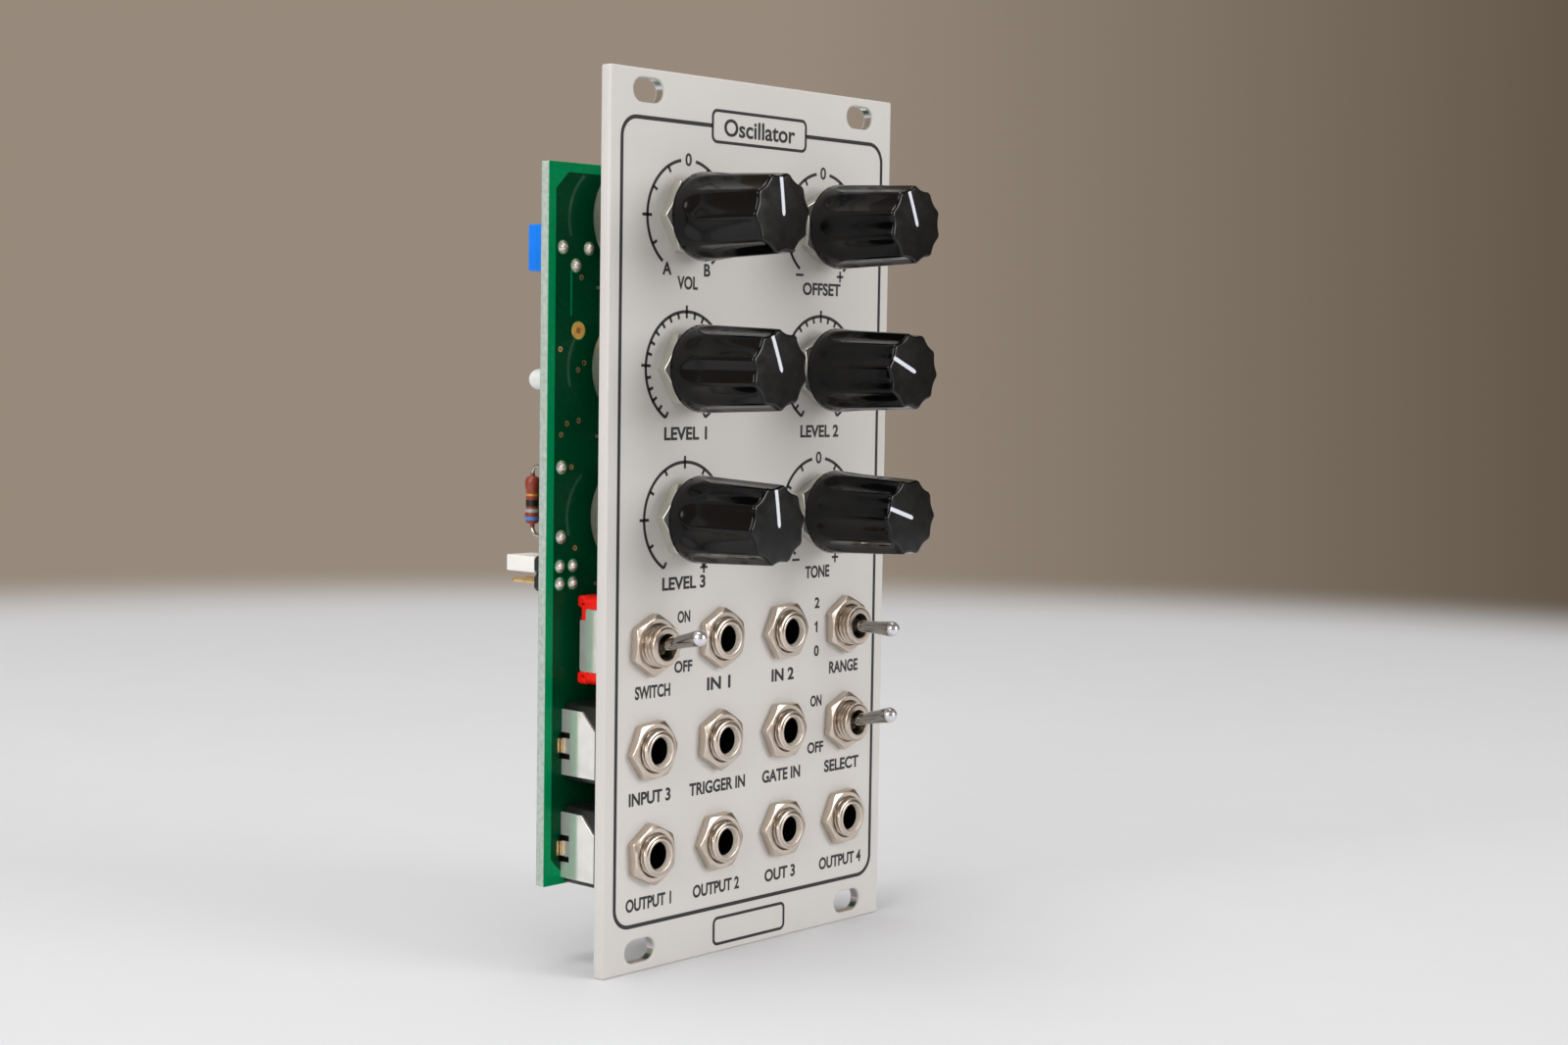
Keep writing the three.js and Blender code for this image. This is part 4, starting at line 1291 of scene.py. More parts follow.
@dataclass
class Toggle:
    """A toggle switch: bush, steel frame folded over a red case, and three terminals."""

    reach: float = 3.5
    mouth: float = 1.9
    well: float = 0.3
    half_width: float = 3.4
    half_height: float = 6.45
    case: Point = (2.3, 11.8)
    metal: float = 0.15
    strap_half: float = 4.6
    strap_back: float = 11.15
    strap_step: Point = (1.2, 1.7)
    base: Point = (2.3, 5.9)  # half the width and height of the black back
    pin_half: Point = (0.35, 0.65)

    def mesh(self) -> Mesh:
        """Build one toggle switch without its lever, its bush at x = z = 0.

        Returns:
            The mesh, in metres.
        """
        shape = Shape(NICKEL_PLATE)
        tip, mouth = -self.reach, self.mouth
        # The real pitch, 0.5 mm, is too fine to show at this distance, so it is drawn coarser
        profile, form = thread(SMALL_BUSH, pitch=0.78, depth=0.5, front=tip + 0.28, back=1.5)
        shape.turn([(mouth, 2.2), (mouth, tip + 0.12), (mouth + 0.1, tip + 0.02), (2.2, tip),
                    (2.6, tip + 0.04), (2.76, tip + 0.16), (2.82, tip + 0.3), *profile,
                    (SMALL_BUSH, 2.2)], 96, closed=True, form=form)
        # Painted shade: a black disc at the bottom of the bush's well
        shape.use(PAINTED_SHADE_BLACK)
        shape.disc(mouth + 0.1, self.well, self.well + 0.4, 40)
        self.metal_into(shape)
        self.case_into(shape)
        shape.use(TIN_PLATE)
        wide, tall = self.pin_half
        for x, z in TOGGLE_PINS:
            shape.block((x - wide, x + wide), (self.case[1] - 1, PIN_END), (z - tall, z + tall),
                        0.1)
        return shape.finish("toggle", crease=30)

    def metal_into(self, shape: Shape) -> None:
        """Fold the steel frame: a front plate and a stepped strap down either side.

        Args:
            shape: what takes the form.
        """
        shape.use(CAN_STEEL)
        w, h = self.half_width + self.metal, self.half_height + self.metal
        shape.plate([rounded(-w, w, -h, h, 1.2, 6)],
                    [(0.12, 1.8), (0.03, 1.83), (0, 1.92), (0, 2.2), (0.1, 2.3)])
        shape.use(TIN_PLATE)
        half, back, (step, cut) = self.strap_half, self.strap_back, self.strap_step
        strap = [(1.9, -half), (back - 0.3, -half), (back, 0.3 - half), (back, half - cut),
                 (back - step, half - cut), (back - step, half - 0.3), (back - step - 0.3, half),
                 (1.9, half)]
        for side in (-1, 1):
            shape.plate([strap], [(0.08, side * w), (0, side * (w - 0.06)),
                                  (0, side * (self.half_width - 0.1))], Axis.X)

    def case_into(self, shape: Shape) -> None:
        """Mould the red case, higher at both ends than under the strap, and its black back.

        Args:
            shape: what takes the form.
        """
        shape.use(CASE_RED)
        half, tall, strap = self.half_width, self.half_height, self.strap_back
        front, back = self.case
        shape.plate([rounded(-half, half, -tall, tall, 1.1, 6)],
                    [(0.1, front), (0, front + 0.1), (0, strap - 0.3), (0.25, strap - 0.05)])
        for side in (-1, 1):
            ends = mirrored(side, self.strap_half + 0.05, tall)
            shape.plate([rounded(-half, half, *ends, 0.5, 5)],
                        [(0.1, strap - 1.0), (0, strap - 0.9), (0, back - 0.3),
                         (0.09, back - 0.09), (0.3, back)])
        shape.use(CASE_BLACK)
        wide, high = self.base
        shape.block((-wide, wide), (strap - 0.2, back + 0.25), (-high, high), 0.1)


@dataclass
class BatLever:
    """A polished lever that swells to a round tip."""

    reach: float = 8.3
    root: float = 0.93
    tip: float = 1.2
    ball: float = 1.5

    def mesh(self) -> Mesh:
        """Turn the lever with its rocking ball at the origin.

        Returns:
            The mesh, in metres.
        """
        profile = [(0.0, -self.reach - self.tip)]
        profile += [clock((0.0, -self.reach), self.tip, 180 - d) for d in range(12, 100, 11)]
        profile += [(self.tip * 0.93, 0.9 - self.reach), (self.root * 1.07, 2.6 - self.reach),
                    (self.root, -4.0)]
        round_ball = 180 - math.degrees(math.asin(self.root / self.ball))
        profile += [clock(ORIGIN, self.ball, round_ball * i / 8) for i in range(8, -1, -1)]
        shape = Shape(LEVER_CHROME)
        shape.turn(profile, 48)
        # The tip takes the paler chrome as painted highlight; the rod keeps the darkened chrome as
        # painted shade
        shape.refinish(TIP_CHROME, 0.25 - self.reach)
        return shape.finish("lever_bat", crease=50)


@dataclass
class Controls:
    """All that is mounted on the panel."""

    pointers: Sequence[float] = (-6, -21, -21, -67, -7, -73)
    pot_nut_turns: Sequence[float] = (30, 0, 28, 2, 32, 1)
    socket_nut_turns: Sequence[float] = (2, 26, 24, 3, 33, -4, 27, 31, 25)
    toggle_nut_turns: Sequence[float] = (4, -3, 5)
    lever_throws: Sequence[float] = (12.5, 0, 12.5)
    knob_lift: float = 2.9
    lever_pivot: float = -1.5
    shaft_radius: float = 3.0
    shaft_ends: Point = (-11.4, 7.7)
    shaft_neck: float = 2.8
    shaft_flat: float = 1.6

    def build(self, layout: Layout) -> None:
        """Place every potentiometer, knob, socket, toggle, lever and nut.

        Args:
            layout: where the controls stand.
        """
        pot, socket, toggle = Potentiometer().mesh(), Socket().mesh(), Toggle().mesh()
        pot_nut = HexNut(flats=10, thickness=1.8, bore=DIAL_BUSH).mesh("pot_hex_nut", ZINC_PLATE)
        small = HexNut(flats=8, thickness=1.5, bore=SMALL_BUSH).mesh("small_hex_nut", NICKEL_PLATE)

        def mount(kind: str, mesh: Mesh, slot: str, nut: Mesh, control: Station,
                  turn: float) -> None:
            """Put one control through the panel and its nut on it.

            Args:
                kind: pot, socket or toggle.
                mesh, slot: the control's.
                nut: the nut's mesh.
                control: its number and place.
                turn: of the nut, in degrees clockwise.
            """
            n = control.number
            place(f"{kind}_body_{n}", mesh, slot, f"{kind}_{n}", at=control.at)
            place(f"{kind}_hex_nut_{n}", nut, "nickel_nut", f"{kind}_nut_{n}", at=control.at,
                  turn=turn)

        knob, pointer, shaft = FlutedKnob().body(), FlutedKnob().pointer(), self.shaft()
        for dial, nut_turn, turn in zip(layout.dials, self.pot_nut_turns, self.pointers):
            mount("pot", pot, "pot_steel", pot_nut, dial, nut_turn)
            n = dial.number
            for name, mesh, slot, nodes in (("knob_body", knob, "knob", [f"knob_{n}"]),
                                            ("knob_pointer", pointer, "knob", []),
                                            ("knob_shaft", shaft, "shaft_steel", [f"shaft_{n}"])):
                place(f"{name}_{n}", mesh, slot, *nodes, body=f"knob_{n}", at=dial.at,
                      depth=-self.knob_lift, turn=turn)
        for station, nut_turn in zip(layout.sockets, self.socket_nut_turns):
            mount("socket", socket, "socket_case", small, station, nut_turn)
        lever = BatLever().mesh()
        for station, nut_turn, throw in zip(layout.toggles, self.toggle_nut_turns,
                                            self.lever_throws):
            mount("toggle", toggle, "toggle_case", small, station, nut_turn)
            n = station.number
            place(f"lever_bat_{n}", lever, "lever", f"lever_{n}", body=f"lever_{n}",
                  at=station.at, depth=self.lever_pivot, throw=throw)

    def shaft(self) -> Mesh:
        """Turn the shaft on its neck, with a flat milled on the end that drives the knob.

        Returns:
            The mesh, in metres.
        """

        def flat(reach: float, level: float, angle: float) -> float:
            """Mill the flat on the front part, facing down.

            Args:
                reach: the radius before.
                level: the depth.
                angle: clockwise from the top, in radians.

            Returns:
                The radius that is left.
            """
            down = -math.cos(angle)
            if level < -0.1 and down * reach > self.shaft_flat:
                return self.shaft_flat / down
            return reach

        shape = Shape(TURNED_STEEL)
        r, neck, (front, back) = self.shaft_radius, self.shaft_neck, self.shaft_ends
        shape.turn([(0, front), (r - 0.4, front), (r, front + 0.4), (r, -0.15), (neck, 0),
                    (neck, back), (0, back)], 60, form=flat)
        return shape.finish("knob_shaft", crease=35)


# ---------------------------------------------------------------- circuit board


@dataclass
class Board:
    """The circuit board: laminate between two masks, pours, traces, legend and solder."""

    left: float
    right: float
    bottom: float
    top: float
    skin: float = 0.04
    copper_skin: float = 0.03
    margin: float = 1.4
    corner: float = 2.4
    hole: Point = (-23.7, 91.85)
    hole_ring: float = 1.28
    hole_plug: float = 0.43
    reflection_radius: float = 8.1
    # A soldered joint climbs its pin: share of the rim's radius, height off the board
    fillet: Sequence[Point] = ((1.0, -0.01), (1.0, 0.05), (0.86, 0.12), (0.66, 0.3), (0.5, 0.52),
                               (0.4, 0.66), (0.22, 0.74), (0, 0.77))
    joint_rim: float = 0.98
    header_rim: float = 0.9
    vias: Sequence[Point] = (
        (-23.2, 99.5), (-27.2, 89.1), (-23.7, 86.15), (-25.8, 78.4), (-23.5, 78.8), (-26.9, 76.8),
        (-22.5, 87.2), (-24.85, 72.1), (-24.0, 60.3), (-22.4, 49.8), (25.8, 96.0), (24.2, 74.0))
    # Each layer of a trace: its width and its vias' radius, then how high both stand
    gap_layer: tuple[float, ...] = (0.62, 0.55, 0.012, 0.012)
    copper_layer: tuple[float, ...] = (0.3, 0.38, 0.024, 0.026)
    edge_slit: Sequence[Point] = ((-25.15, 100.6), (-25.15, 94.0))
    front_traces: Sequence[Sequence[Point]] = (
        ((24.2, 110.0), (26.2, 107.5), (26.2, 60.0), (25.0, 58.4), (25.0, 52.0)),
        ((27.2, 110.0), (27.2, 20.0)))
    # Half the width and height of the legend's frame round each part
    frames: Sequence[tuple[str, float, float]] = (
        ("trimmer", 3.8, 3.8), ("resistor", 1.7, 4.0), ("pin_header", 2.9, 2.9),
        ("power_header", 2.95, 6.75), ("lamp", 2.2, 2.2))

    def build(self, layout: Layout) -> None:
        """Lay up the board and solder everything to it.

        Args:
            layout: where the controls and parts stand.
        """
        rear = [(control.x + x, control.z + z, self.joint_rim)
                for controls, pins in ((layout.dials, POT_PINS), (layout.sockets, SOCKET_PINS),
                                       (layout.toggles, TOGGLE_PINS))
                for control in controls for x, z in pins]
        headers = [(name, [(x, (row - (rows - 1) / 2) * PITCH) for row in range(rows)
                           for x in (-PITCH / 2, PITCH / 2)], self.header_rim)
                   for name, rows in (("pin_header", 2), ("power_header", 5))]
        fronts = [(layout.parts[name][0] + x, layout.parts[name][1] + z, rim)
                  for name, pins, rim in (("trimmer", TRIMMER_PINS, self.joint_rim),
                                          ("resistor", RESISTOR_PINS, self.joint_rim), *headers)
                  for x, z in pins]
        self.layers(fronts, rear)
        self.copper(layout.dials)
        self.legend(layout.parts)
        solder = Shape(SOLDER)
        for joints, outer, outward in ((rear, BOARD_BACK, 1), (fronts, BOARD_FRONT, -1)):
            for x, z, rim in joints:
                face = outer + 0.05 * outward
                profile = [(0, face - 0.05 * outward)]
                profile += [(rim * r, face + outward * y) for r, y in self.fillet]
                solder.turn(profile, 24, at=(x, z))
        place("board_solder", solder, "board")

    def layers(self, fronts: Sequence[Triple], rear: Sequence[Triple]) -> None:
        """Lay up laminate, masks and pours, with the ways round the joints of each face.

        Args:
            fronts, rear: x, z and rim of the joints on each face.
        """
        front, back, skin, pour_skin = BOARD_FRONT, BOARD_BACK, self.skin, self.copper_skin
        outline = rounded(self.left, self.right, self.bottom, self.top, 0.15, 2)
        shape = Shape(LAMINATE)
        shape.plate([outline, circle(0.72, 32, self.hole)], [(0, front + skin), (0, back - skin)])
        shape.use(MASK_OVER_LAMINATE)
        for steps in ([(0.02, front), (0, front + skin)], [(0, back - skin), (0.02, back)]):
            shape.plate([outline, circle(1.3, 32, self.hole)], steps)
        shape.use(MASK_OVER_COPPER)
        m, cut = self.margin, self.corner
        l, r, b, t = self.left + m, self.right - m, self.bottom + m, self.top - m
        pour = [(l, b + cut), (l + cut, b), (r - cut, b), (r, b + cut), (r, t - cut),
                (r - cut, t), (l + cut, t), (l, t - cut)]
        hole = circle(1.4, 28, self.hole)
        for joints, low, high in ((fronts, front - pour_skin, front),
                                  (rear, back, back + pour_skin)):
            ways = [circle(1.08, 20, (x, z)) for x, z, _ in joints]
            shape.plate([pour, hole, *ways], [(0, low), (0, high)])
        shape.use(PAD_GOLD)
        ring, plug = self.hole_ring, self.hole_plug
        shape.turn([(0.38, front), (0.44, front - 0.05), (ring, front - 0.05),
                    (ring, front + 0.02), (0.71, front + 0.05), (0.71, back - 0.05),
                    (ring, back - 0.02), (ring, back + 0.05), (0.44, back + 0.05),
                    (0.38, back)], 32, at=self.hole, closed=True)
        shape.use(HOLE_COPPER)
        shape.turn([(0, front - 0.04), (plug, front - 0.046), (plug, back + 0.046),
                    (0, back + 0.04)], 32, at=self.hole)
        place("board_laminate", shape, "board", "circuit_board")

    def trace(self, gap: Shape, copper: Shape, path: Sequence[Point], face: float,
              outward: int) -> None:
        """Draw one trace between its two gaps, with a via at each end.

        Args:
            gap: the bare-laminate layer.
            copper: the copper layer.
            path: the trace's middle.
            face: the depth of the pour's face.
            outward: -1 on the front, 1 on the back.
        """
        for shape, layer in ((gap, self.gap_layer), (copper, self.copper_layer)):
            wide, via, high, via_high = layer
            shape.line(path, wide, *sorted((face, face + outward * high)))
            for end in (path[0], path[-1]):
                low, top = sorted((face - outward * 0.01, face + outward * via_high))
                shape.disc(via, low, top, 18, end)

    def copper(self, dials: Sequence[Station]) -> None:
        """Route the visible traces of both faces, and paint pale arcs round the controls as the
        cans' reflection in the mask.

        Args:
            dials: the controls that the traces go by.
        """
        gap, copper = Shape(MASK_OVER_LAMINATE), Shape(MASK_OVER_COPPER)
        pads, reflections = Shape(GOLD_FLASH), Shape(PAINTED_REFLECTION)
        face = BOARD_FRONT - self.copper_skin
        gap.line(self.edge_slit, 0.26, face - 0.012, face)
        # Painted reflection: a pale arc beside each dial, where its can mirrors in the mask
        for dial in dials:
            side = -1 if dial.x < 0 else 1
            middle = (dial.x + side * 2.75, dial.z - 0.3)
            path = [clock(middle, self.reflection_radius, side * d) for d in range(40, 109, 4)]
            reflections.line(path, 0.5, face - 0.008, face)
        for path in self.front_traces:
            self.trace(gap, copper, path, face, -1)
        for via in self.vias:
            pads.turn([(0, face), (0.22, face), (0.22, face - 0.02), (0.42, face - 0.02),
                       (0.42, face + 0.02), (0, face + 0.02)], 18, at=via)
        paths = []
        for index, dial in enumerate(dials):
            side = -1 if dial.x < 0 else 1
            for k, (x, z) in enumerate(POT_PINS):
                start = (dial.x + x + 0.9, dial.z + z + 0.9)
                reach = 3.0 + 1.1 * k
                bend = (start[0] + reach, start[1] + reach)
                paths.append([start, bend, (bend[0], bend[1] + 3.2 + 1.6 * k + index % 3)])
            x = side * (17.5 + 1.4 * (index // 2))
            paths.append([(x, 52.0 - index), (x, 24.0 + index), (x - side * 3, 21.0 + index)])
        for step in range(5):
            z, x = 81.5 + step * PITCH, 4.0 + step * 0.8
            paths.append([(1.9, z), (x, z), (x + 2, z - 2), (x + 2, 46.0 + step)])
        for path in paths:
            self.trace(gap, copper, path, BOARD_BACK + self.copper_skin, 1)
        for shape, name in ((reflections, "board_painted_reflections"), (gap, "board_trace_gaps"),
                            (copper, "board_traces"), (pads, "board_vias")):
            place(name, shape, "board")

    def legend(self, parts: Mapping[str, Point]) -> None:
        """Print the legend on the back: outlines round the parts and the power header's signs.

        Args:
            parts: places of the parts by their names.
        """
        shape = Shape(LEGEND_INK)
        face = BOARD_BACK + self.copper_skin
        for name, wide, tall in self.frames:
            x, z = parts[name]
            frame_line = rounded(x - wide, x + wide, z - tall, z + tall, 0.3, 3)
            shape.line(frame_line, 0.17, face, face + 0.02, True)
        x, z = parts["power_header"]
        shape.line([(x + 3.5, z - 6.6), (x + 3.5, z - 3.6)], 0.35, face, face + 0.02)
        for side in (-1, 1):
            bar = [(x + 4.3, z + side * 5.1), (x + 5.7, z + side * 5.1)]
            shape.line(bar, 0.22, face, face + 0.02)
        shape.line([(x + 5.0, z - 5.8), (x + 5.0, z - 4.4)], 0.22, face, face + 0.022)
        place("board_legend", shape, "board")


@dataclass
class RearParts:
    """The parts on the board's back: trimmer, lamp, resistor, headers, jumper and chips."""

    parts: Mapping[str, Point]
    tail: float = BOARD_FRONT - 0.7  # where the ends of pins from the back stand
    header_back: float = BOARD_BACK + 2.5
    # Each chip's pins, place and turn
    chip_places: Sequence[tuple[int, float, float, float]] = (
        (14, 11.5, 104.0, 0), (8, -9.5, 92.5, 0), (8, 11.0, 83.0, 90), (14, -11.0, 69.5, 90),
        (8, 12.0, 62.0, 0))
    chip_pitch: float = 1.27
    chip_half: float = 1.95
    chip_levels: Point = (0.12, 1.55)
    # Where each row of small parts starts, and how many it has
    passive_rows: Sequence[tuple[float, float, int]] = (
        (-14.0, 104.5, 5), (-13.6, 100.9, 4), (16.8, 101.5, 3), (5.4, 100.6, 2), (-14.5, 86.5, 4),
        (6.0, 91.2, 5), (-19.5, 78.6, 4), (8.0, 71.4, 5), (-19.0, 63.5, 5), (17.2, 60.4, 2),
        (-8.0, 40.0, 3), (3.0, 40.2, 3), (-15.5, 24.6, 3), (10.6, 24.5, 3))

    def build(self) -> None:
        """Place every part."""
        self.trimmer()
        self.lamp()
        self.resistor()
        self.header("pin_header", 2)
        self.header("power_header", 5)
        self.jumper()
        self.chips()

    def trimmer(self) -> None:
        """Mould the trimmer round its pocket, and the slotted rotor that turns in it."""
        front, back, half, pocket = BOARD_BACK + 0.5, BOARD_BACK + 4.9, 3.4, 2.02
        shape = Shape(TRIMMER_BLUE)
        shape.block((-half, half), (front, back - 1.85), (-half, half), 0.2)
        shape.plate([rounded(-half, half, -half, half, 0.35, 4), circle(pocket, 40)],
                    [(0, back - 2.1), (0, back - 0.22), (0.06, back - 0.06), (0.22, back)])
        for side in (-1, 1):
            shape.block(mirrored(side, half, half - 1), (BOARD_BACK, front + 0.5), (-half, half),
                        0.1)
        shape.use(NYLON_WHITE)
        for turn in (-130, 130):
            shape.disc(0.22, back - 0.05, back, 16, clock(ORIGIN, 2.75, turn))
        shape.use(TINNED_WIRE)
        for pin in TRIMMER_PINS:
            shape.turn([(0, self.tail), (0.16, self.tail), (0.24, self.tail + 0.2),
                        (0.24, front + 0.9), (0, front + 0.9)], 16, at=pin)
        place("trimmer_body", shape, "trimmer", "trimmer", at=self.parts["trimmer"])
        rotor, radius, slot = Shape(NYLON_WHITE), 1.78, 0.35
        rotor.turn([(0, -1.6), (1.7, -1.6), (radius, -1.5), (radius, -0.66), (0, -0.66)], 48)
        edge = math.degrees(math.acos(slot / radius))
        for side in (-1, 1):
            turns = [side * (90 - edge * (1 - i / 10)) for i in range(21)]
            rotor.plate([[clock(ORIGIN, radius, turn) for turn in turns]],
                        [(0, -0.7), (0, -0.12), (0.1, 0)])
        place("trimmer_slot_rotor", rotor, "trimmer_rotor", "trimmer_rotor", body="trimmer_rotor",
              at=self.parts["trimmer"], depth=back)

    def lamp(self) -> None:
        """Cast the domed lamp on its flange, over a moulded foot."""
        front, r = BOARD_BACK + 1.3, 1.5
        back = front + 4.7
        dome = [clock((0.0, back - r), r, 90 - d) for d in range(0, 90, 10)]
        shape = Shape(LAMP_EPOXY)
        shape.turn([(0, front), (r + 0.3, front), (r + 0.35, front + 0.06), (r + 0.35, front + 0.9),
                    (r + 0.25, front + 1), (r + 0.04, front + 1.03), *dome, (0, back)], 56)
        shape.use(HEADER_NYLON)
        shape.block((-1.3, 1.3), (BOARD_BACK, front + 0.1), (-1.6, 1.6), 0.12)
        shape.use(SOLDER)
        for side in (-1, 1):
            shape.block((-0.9, 0.9), (BOARD_BACK, BOARD_BACK + 0.35), mirrored(side, 1.5, 2.1), 0.1)
        place("lamp_dome", shape, "lamp", "lamp", at=self.parts["lamp"])

    def resistor(self) -> None:
        """Dip the resistor, paint its bands and bend its leads down into the board."""
        axis, half, end, waist = BOARD_BACK + 4.525, 3.55, 1.11, 0.965

        def bulge(level: float) -> float:
            """Return the lacquer's radius along the barrel: a slight waist, then tapered ends.

            Args:
                level: how far along from its middle.

            Returns:
                The radius there.
            """
            reach = abs(level)
            swell = min(max((reach - 0.9) / 1.3, 0), 1)
            body = waist + (end - waist) * swell * swell * (3 - 2 * swell)
            tip = max(reach - 2.3, 0) / (half - 2.3)
            oval = math.sqrt(max(1 - tip ** 2.4, 0))
            return body * oval * 0.78 + body * 0.22 * (1 - tip) + 0.36 * tip

        shape = Shape(RESISTOR_LACQUER)
        levels = [2 * half * i / 56 - half for i in range(57)]
        shape.turn([(0, -half - 0.4), (0.31, -half - 0.4), *((bulge(y), y) for y in levels),
                    (0.31, half + 0.4), (0, half + 0.4)], 48, at=(0.0, axis), axis=Axis.Z)
        for finish, middle, width in ((BAND_GOLD, 0.8, 0.36), (BAND_BLACK, -0.4, 0.95),
                                      (BAND_GREY, -1.5, 0.5), (BAND_BLUE, -2.65, 0.5)):
            shape.use(finish)
            ring = [middle - width / 2 + width * i / 6 for i in range(7)]
            shape.turn([(0.5, ring[0]), *((bulge(y) + 0.014, y) for y in ring), (0.5, ring[-1])],
                       48, at=(0.0, axis), closed=True, axis=Axis.Z)
        shape.use(TINNED_WIRE)
        reach, bend = RESISTOR_PINS[1][1], 1.2
        lead = [Vector((0, self.tail, reach))]
        for degrees in range(0, 91, 10):
            z, y = clock((reach - bend, axis - bend), bend, 90 - degrees)
            lead.append(Vector((0, y, z)))
        lead.append(Vector((0, axis, half - 0.3)))
        far = [Vector((0, point.y, -point.z)) for point in lead]
        shape.wire(far + lead[::-1], 0.29)
        place("resistor_barrel", shape, "resistor", "resistor", at=self.parts["resistor"])

    def header(self, node: str, rows: int) -> None:
        """Mould a two-wide header of so many rows round its gold pins.

        Args:
            node: what the header is called.
            rows: how many pairs of pins.
        """
        shape = Shape(HEADER_NYLON)
        face, back, half, wide = BOARD_BACK, self.header_back, PITCH / 2, PITCH
        heights = [(row - (rows - 1) / 2) * PITCH for row in range(rows)]
        for z in heights:
            outline = [(0.5 - wide, z - half), (wide - 0.5, z - half), (wide, z - half + 0.5),
                       (wide, z + half - 0.5), (wide - 0.5, z + half), (0.5 - wide, z + half),
                       (-wide, z + half - 0.5), (-wide, z - half + 0.5)]
            shape.plate([outline], [(0.05, face), (0, face + 0.06), (0, back - 0.08), (0.08, back)])
        shape.use(GOLD_FLASH)
        pin = 0.32
        for x, z in ((x, z) for z in heights for x in (-half, half)):
            shape.plate([rounded(x - pin, x + pin, z - pin, z + pin, 0.04, 2)],
                        [(0.14, self.tail), (0, self.tail + 0.3), (0, face + 8.1),
                         (0.2, face + 8.4)])
        name = f"{node}_pins"
        place(name, shape.finish(name, crease=25), "header", node, at=self.parts[node])

    def jumper(self) -> None:
        """Mould the jumper with its two ways and the spring clip inside."""
        wide, tall, long, way = PITCH - 0.1, PITCH / 2 - 0.1, 6.1, 0.62
        shape = Shape(NYLON_WHITE)
        ways = [rounded(x - way, x + way, -way, way, 0.1, 2) for x in (-PITCH / 2, PITCH / 2)]
        shape.plate([rounded(-wide, wide, -tall, tall, 0.16, 4), *ways],
                    [(0.1, 0), (0, 0.1), (0, long - 0.12), (0.04, long - 0.04), (0.12, long)])
        shape.use(GOLD_FLASH)
        for middle in (-PITCH / 2, PITCH / 2):
            for side in (-1, 1):
                low, high = mirrored(side, 0.5, 0.6)
                shape.block((middle + low, middle + high), (0.6, 5.2), (-0.5, 0.5), 0.03)
        x, z = self.parts["pin_header"]
        place("jumper_shell", shape, "jumper", "jumper", body="jumper", at=(x, z + PITCH / 2),
              depth=self.header_back)

    def chip(self, pins: int) -> Mesh:
        """Build a small-outline chip with gull-wing legs, lying on y = 0.

        Args:
            pins: on both sides together.

        Returns:
            The mesh, in metres.
        """
        half = (pins / 2 * self.chip_pitch + 0.1) / 2
        shape = Shape(CHIP_EPOXY)
        shape.block((-self.chip_half, self.chip_half), self.chip_levels, (-half, half), 0.25)
        shape.disc(0.42, 1.56, 1.5, 20, (-1.2, half - 0.75))
        shape.use(TIN_PLATE)
        leg = [(1.8, 0.85), (2.2, 0.85), (2.4, 0.75), (2.55, 0.2), (2.65, 0.1), (3.05, 0.08)]
        section = [(0.07, -0.2), (0.07, 0.2), (-0.07, 0.2), (-0.07, -0.2)]
        for row in range(pins // 2):
            z = (row - (pins / 2 - 1) / 2) * self.chip_pitch
            for side in (-1, 1):
                shape.rings([[Vector((side * x, y + dy, z + dz)) for dy, dz in section]
                             for x, y in leg])
        return shape.finish(f"chip_{pins}")

    def passive(self, finish: Finish, height: float) -> Mesh:
        """Build a chip resistor or capacitor with two soldered ends, lying on y = 0.

        Args:
            finish: of its body.
            height: of its body.

        Returns:
            The mesh, in metres.
        """
        shape = Shape(finish)
        shape.block((-0.4, 0.4), (0.02, height), (-0.6, 0.6), 0.05)
        shape.use(SOLDER)
        for side in (-1, 1):
            shape.block((-0.43, 0.43), (0, height + 0.03), mirrored(side, 0.5, 0.84), 0.08)
            shape.block((-0.5, 0.5), (0, 0.2), mirrored(side, 0.7, 1.15), 0.09)
        return shape.finish(f"passive_{finish.name}")

    def chips(self) -> None:
        """Set out the surface-mounted parts, which the legend's free areas hold."""
        face = BOARD_BACK + 0.04
        meshes = {pins: self.chip(pins) for pins in (8, 14)}
        for index, (pins, x, z, turn) in enumerate(self.chip_places, 1):
            place(f"chip_{index}", meshes[pins], "board", at=(x, z), depth=face, turn=turn)
        rng = random.Random(12)
        kinds = [self.passive(CHIP_EPOXY, 0.45), self.passive(CERAMIC_TAN, 0.75)]
        spots = [(x + 2.4 * i, z) for x, z, count in self.passive_rows for i in range(count)]
        for index, spot in enumerate(spots, 1):
            place(f"passive_{index}", rng.choice(kinds), "board", at=spot, depth=face)


# ---------------------------------------------------------------- studio


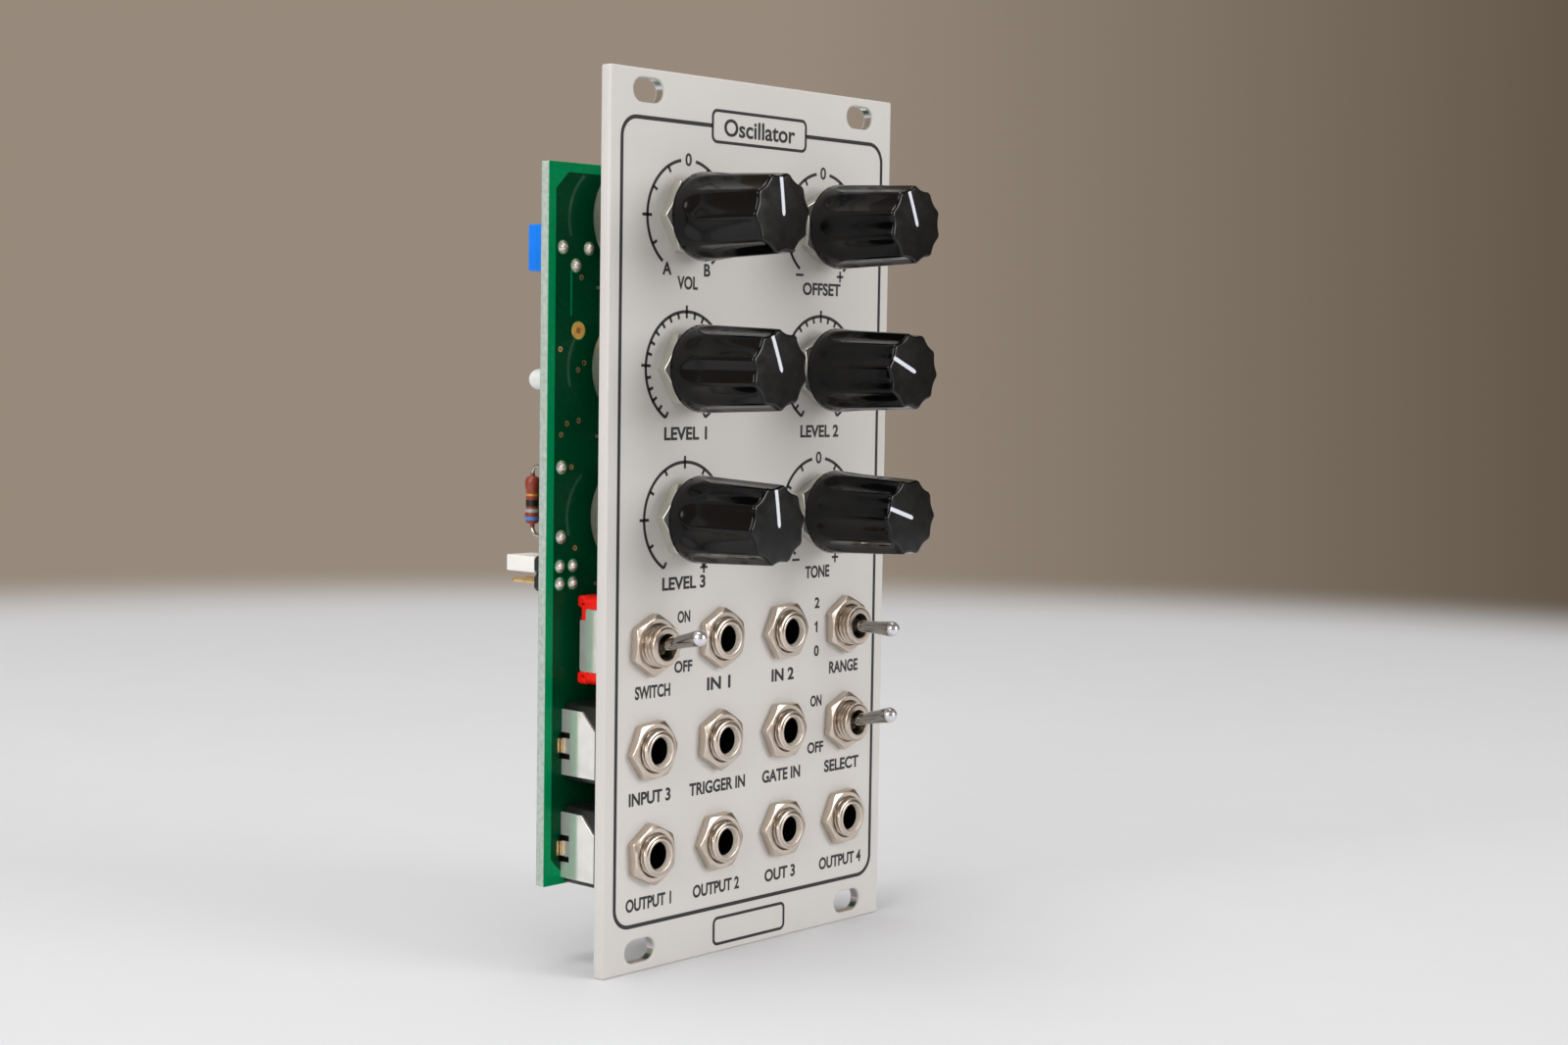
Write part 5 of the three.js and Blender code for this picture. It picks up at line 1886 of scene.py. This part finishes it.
@dataclass
class Studio:
    """A pale table, a soft room and the photograph's camera."""

    eye: Triple = (-0.259549, -0.243248, 0.087912)
    right: Triple = (0.67152, -0.740837, 0.014887)
    forward: Triple = (0.739892, 0.669302, -0.067783)
    up: Triple = (0.040252, 0.056532, 0.997589)
    lens: float = 54.62
    sensor: float = 36.0
    aim: Triple = (0.0, 0.0, 0.06)  # what the softboxes face
    fade: Point = (0.44, 0.66)  # metres from the middle between which the table melts away
    table_colours: tuple[str, str] = ("#dddddf", "#dadadc")
    wall_colours: tuple[str, str] = ("#978a7c", "#5b5042")

    def build(self) -> None:
        """Set up the camera, table, room and lights."""
        self.camera()
        self.table()
        self.room()
        # From the left, from above, and low from the right of the front, where no cap mirrors it
        self.softbox("key", (-1.0, -0.1, 0.55), size=0.8, power=7.6)
        self.softbox("top", (-0.05, 0.1, 0.95), size=0.5, power=3.4)
        self.softbox("front", (0.42, -1.1, 0.4), size=0.6, power=6.5)

    def camera(self) -> None:
        """Place the camera where the photograph was taken from."""
        data = bpy.data.cameras.new("camera")
        data.lens, data.sensor_width, data.sensor_fit = self.lens, self.sensor, "HORIZONTAL"
        data.clip_start = 0.01
        eye = in_scene("camera", data)
        axes = Matrix((self.right, self.up, tuple(-f for f in self.forward))).transposed()
        eye.matrix_world = Matrix.Translation(self.eye) @ axes.to_4x4()
        bpy.context.scene.camera = eye

    def table(self) -> None:
        """Lay a round pale table whose far edge melts into the room."""
        mesh = bmesh.new()
        rings = [[mesh.verts.new((*point, 0)) for point in circle(r, 96)[::-1]]
                 for r in (0.02, 0.2, 0.5, self.fade[1] + 0.02)]
        mesh.faces.new(rings[0])
        for near, far in zip(rings, rings[1:]):
            for i in range(len(near)):
                mesh.faces.new((near[i - 1], near[i], far[i], far[i - 1]))
        bmesh.ops.recalc_face_normals(mesh, faces=mesh.faces)
        data = bpy.data.meshes.new("table")
        mesh.to_mesh(data)
        mesh.free()
        # Matt lacquered board: a cool off-white with the faintest mottling
        material = blank(bpy.data.materials.new("matt_lacquer"))
        node = partial(add_node, material)
        at = node("ShaderNodeTexCoord").outputs["Object"]
        noise = node("ShaderNodeTexNoise", {"Scale": 60.0, "Detail": 3.0}, {0: at})
        first, second = map(linear, self.table_colours)
        colour = node("ShaderNodeMix", {"data_type": "RGBA", 6: first, 7: second},
                      {0: noise.outputs[0]})
        away = node("ShaderNodeVectorMath", {"operation": "LENGTH"}, {0: at})
        alpha = node("ShaderNodeMapRange", {
            "interpolation_type": "SMOOTHERSTEP", "From Min": self.fade[0],
            "From Max": self.fade[1], "To Min": 1.0, "To Max": 0.0}, {0: away.outputs["Value"]})
        shader = node("ShaderNodeBsdfPrincipled", {"Roughness": 0.55},
                      {"Base Color": colour.outputs[2], "Alpha": alpha.outputs[0]})
        node("ShaderNodeOutputMaterial", links={"Surface": shader.outputs[0]})
        data.materials.append(material)
        in_scene("table", data)

    def room(self) -> None:
        """Light the object evenly, and show a warm grey wall to the camera, metal and glass."""
        world = blank(bpy.data.worlds.new("room"))
        bpy.context.scene.world = world
        node = partial(add_node, world)
        way = node("ShaderNodeTexCoord").outputs["Generated"]
        across = node("ShaderNodeVectorMath", {"operation": "DOT_PRODUCT", 1: self.right}, {0: way})
        share = node("ShaderNodeMapRange", {"From Min": 0.0, "From Max": 0.34},
                     {0: across.outputs["Value"]})
        light, dark = map(linear, self.wall_colours)
        tone = node("ShaderNodeMix", {"data_type": "RGBA", 6: light, 7: dark},
                    {0: share.outputs[0]})
        seen = node("ShaderNodeBackground", {"Strength": 1.0}, {0: tone.outputs[2]})
        even = node("ShaderNodeBackground", {"Color": (1.0, 1.0, 1.0, 1.0), "Strength": 0.5})
        path = node("ShaderNodeLightPath").outputs
        first = node("ShaderNodeMath", {"operation": "ADD"},
                     {0: path["Is Camera Ray"], 1: path["Is Glossy Ray"]})
        rays = node("ShaderNodeMath", {"operation": "ADD", "use_clamp": True},
                    {0: first.outputs[0], 1: path["Is Transmission Ray"]})
        mix = node("ShaderNodeMixShader", links={0: rays.outputs[0], 1: even.outputs[0],
                                                 2: seen.outputs[0]})
        node("ShaderNodeOutputWorld", links={"Surface": mix.outputs[0]})

    def softbox(self, name: str, at: Triple, size: float, power: float) -> None:
        """Hang one square softbox that faces the object.

        Args:
            name: of the light.
            at: its place in metres.
            size: of its side in metres.
            power: in watts.
        """
        data = bpy.data.lights.new(name, "AREA")
        data.shape, data.size, data.energy = "SQUARE", size, power
        lamp = in_scene(name, data)
        lamp.location = at
        way = Vector(self.aim) - Vector(at)
        lamp.rotation_euler = way.to_track_quat("-Z", "Y").to_euler()


def main() -> None:
    """Dress the module, piece by piece, and put it in the studio."""
    logging.basicConfig(level=logging.INFO, format="%(name)s: %(message)s", stream=sys.stdout)
    layout = Layout.read()
    panel = Panel(*sides_of("front_panel"))
    panel.build(layout)
    Print(panel).build(layout)
    Controls().build(layout)
    Board(*sides_of("circuit_board")).build(layout)
    RearParts(layout.parts).build()
    Studio().build()
    bpy.context.scene.view_settings.view_transform = "Standard"


if __name__ == "__main__":
    main()
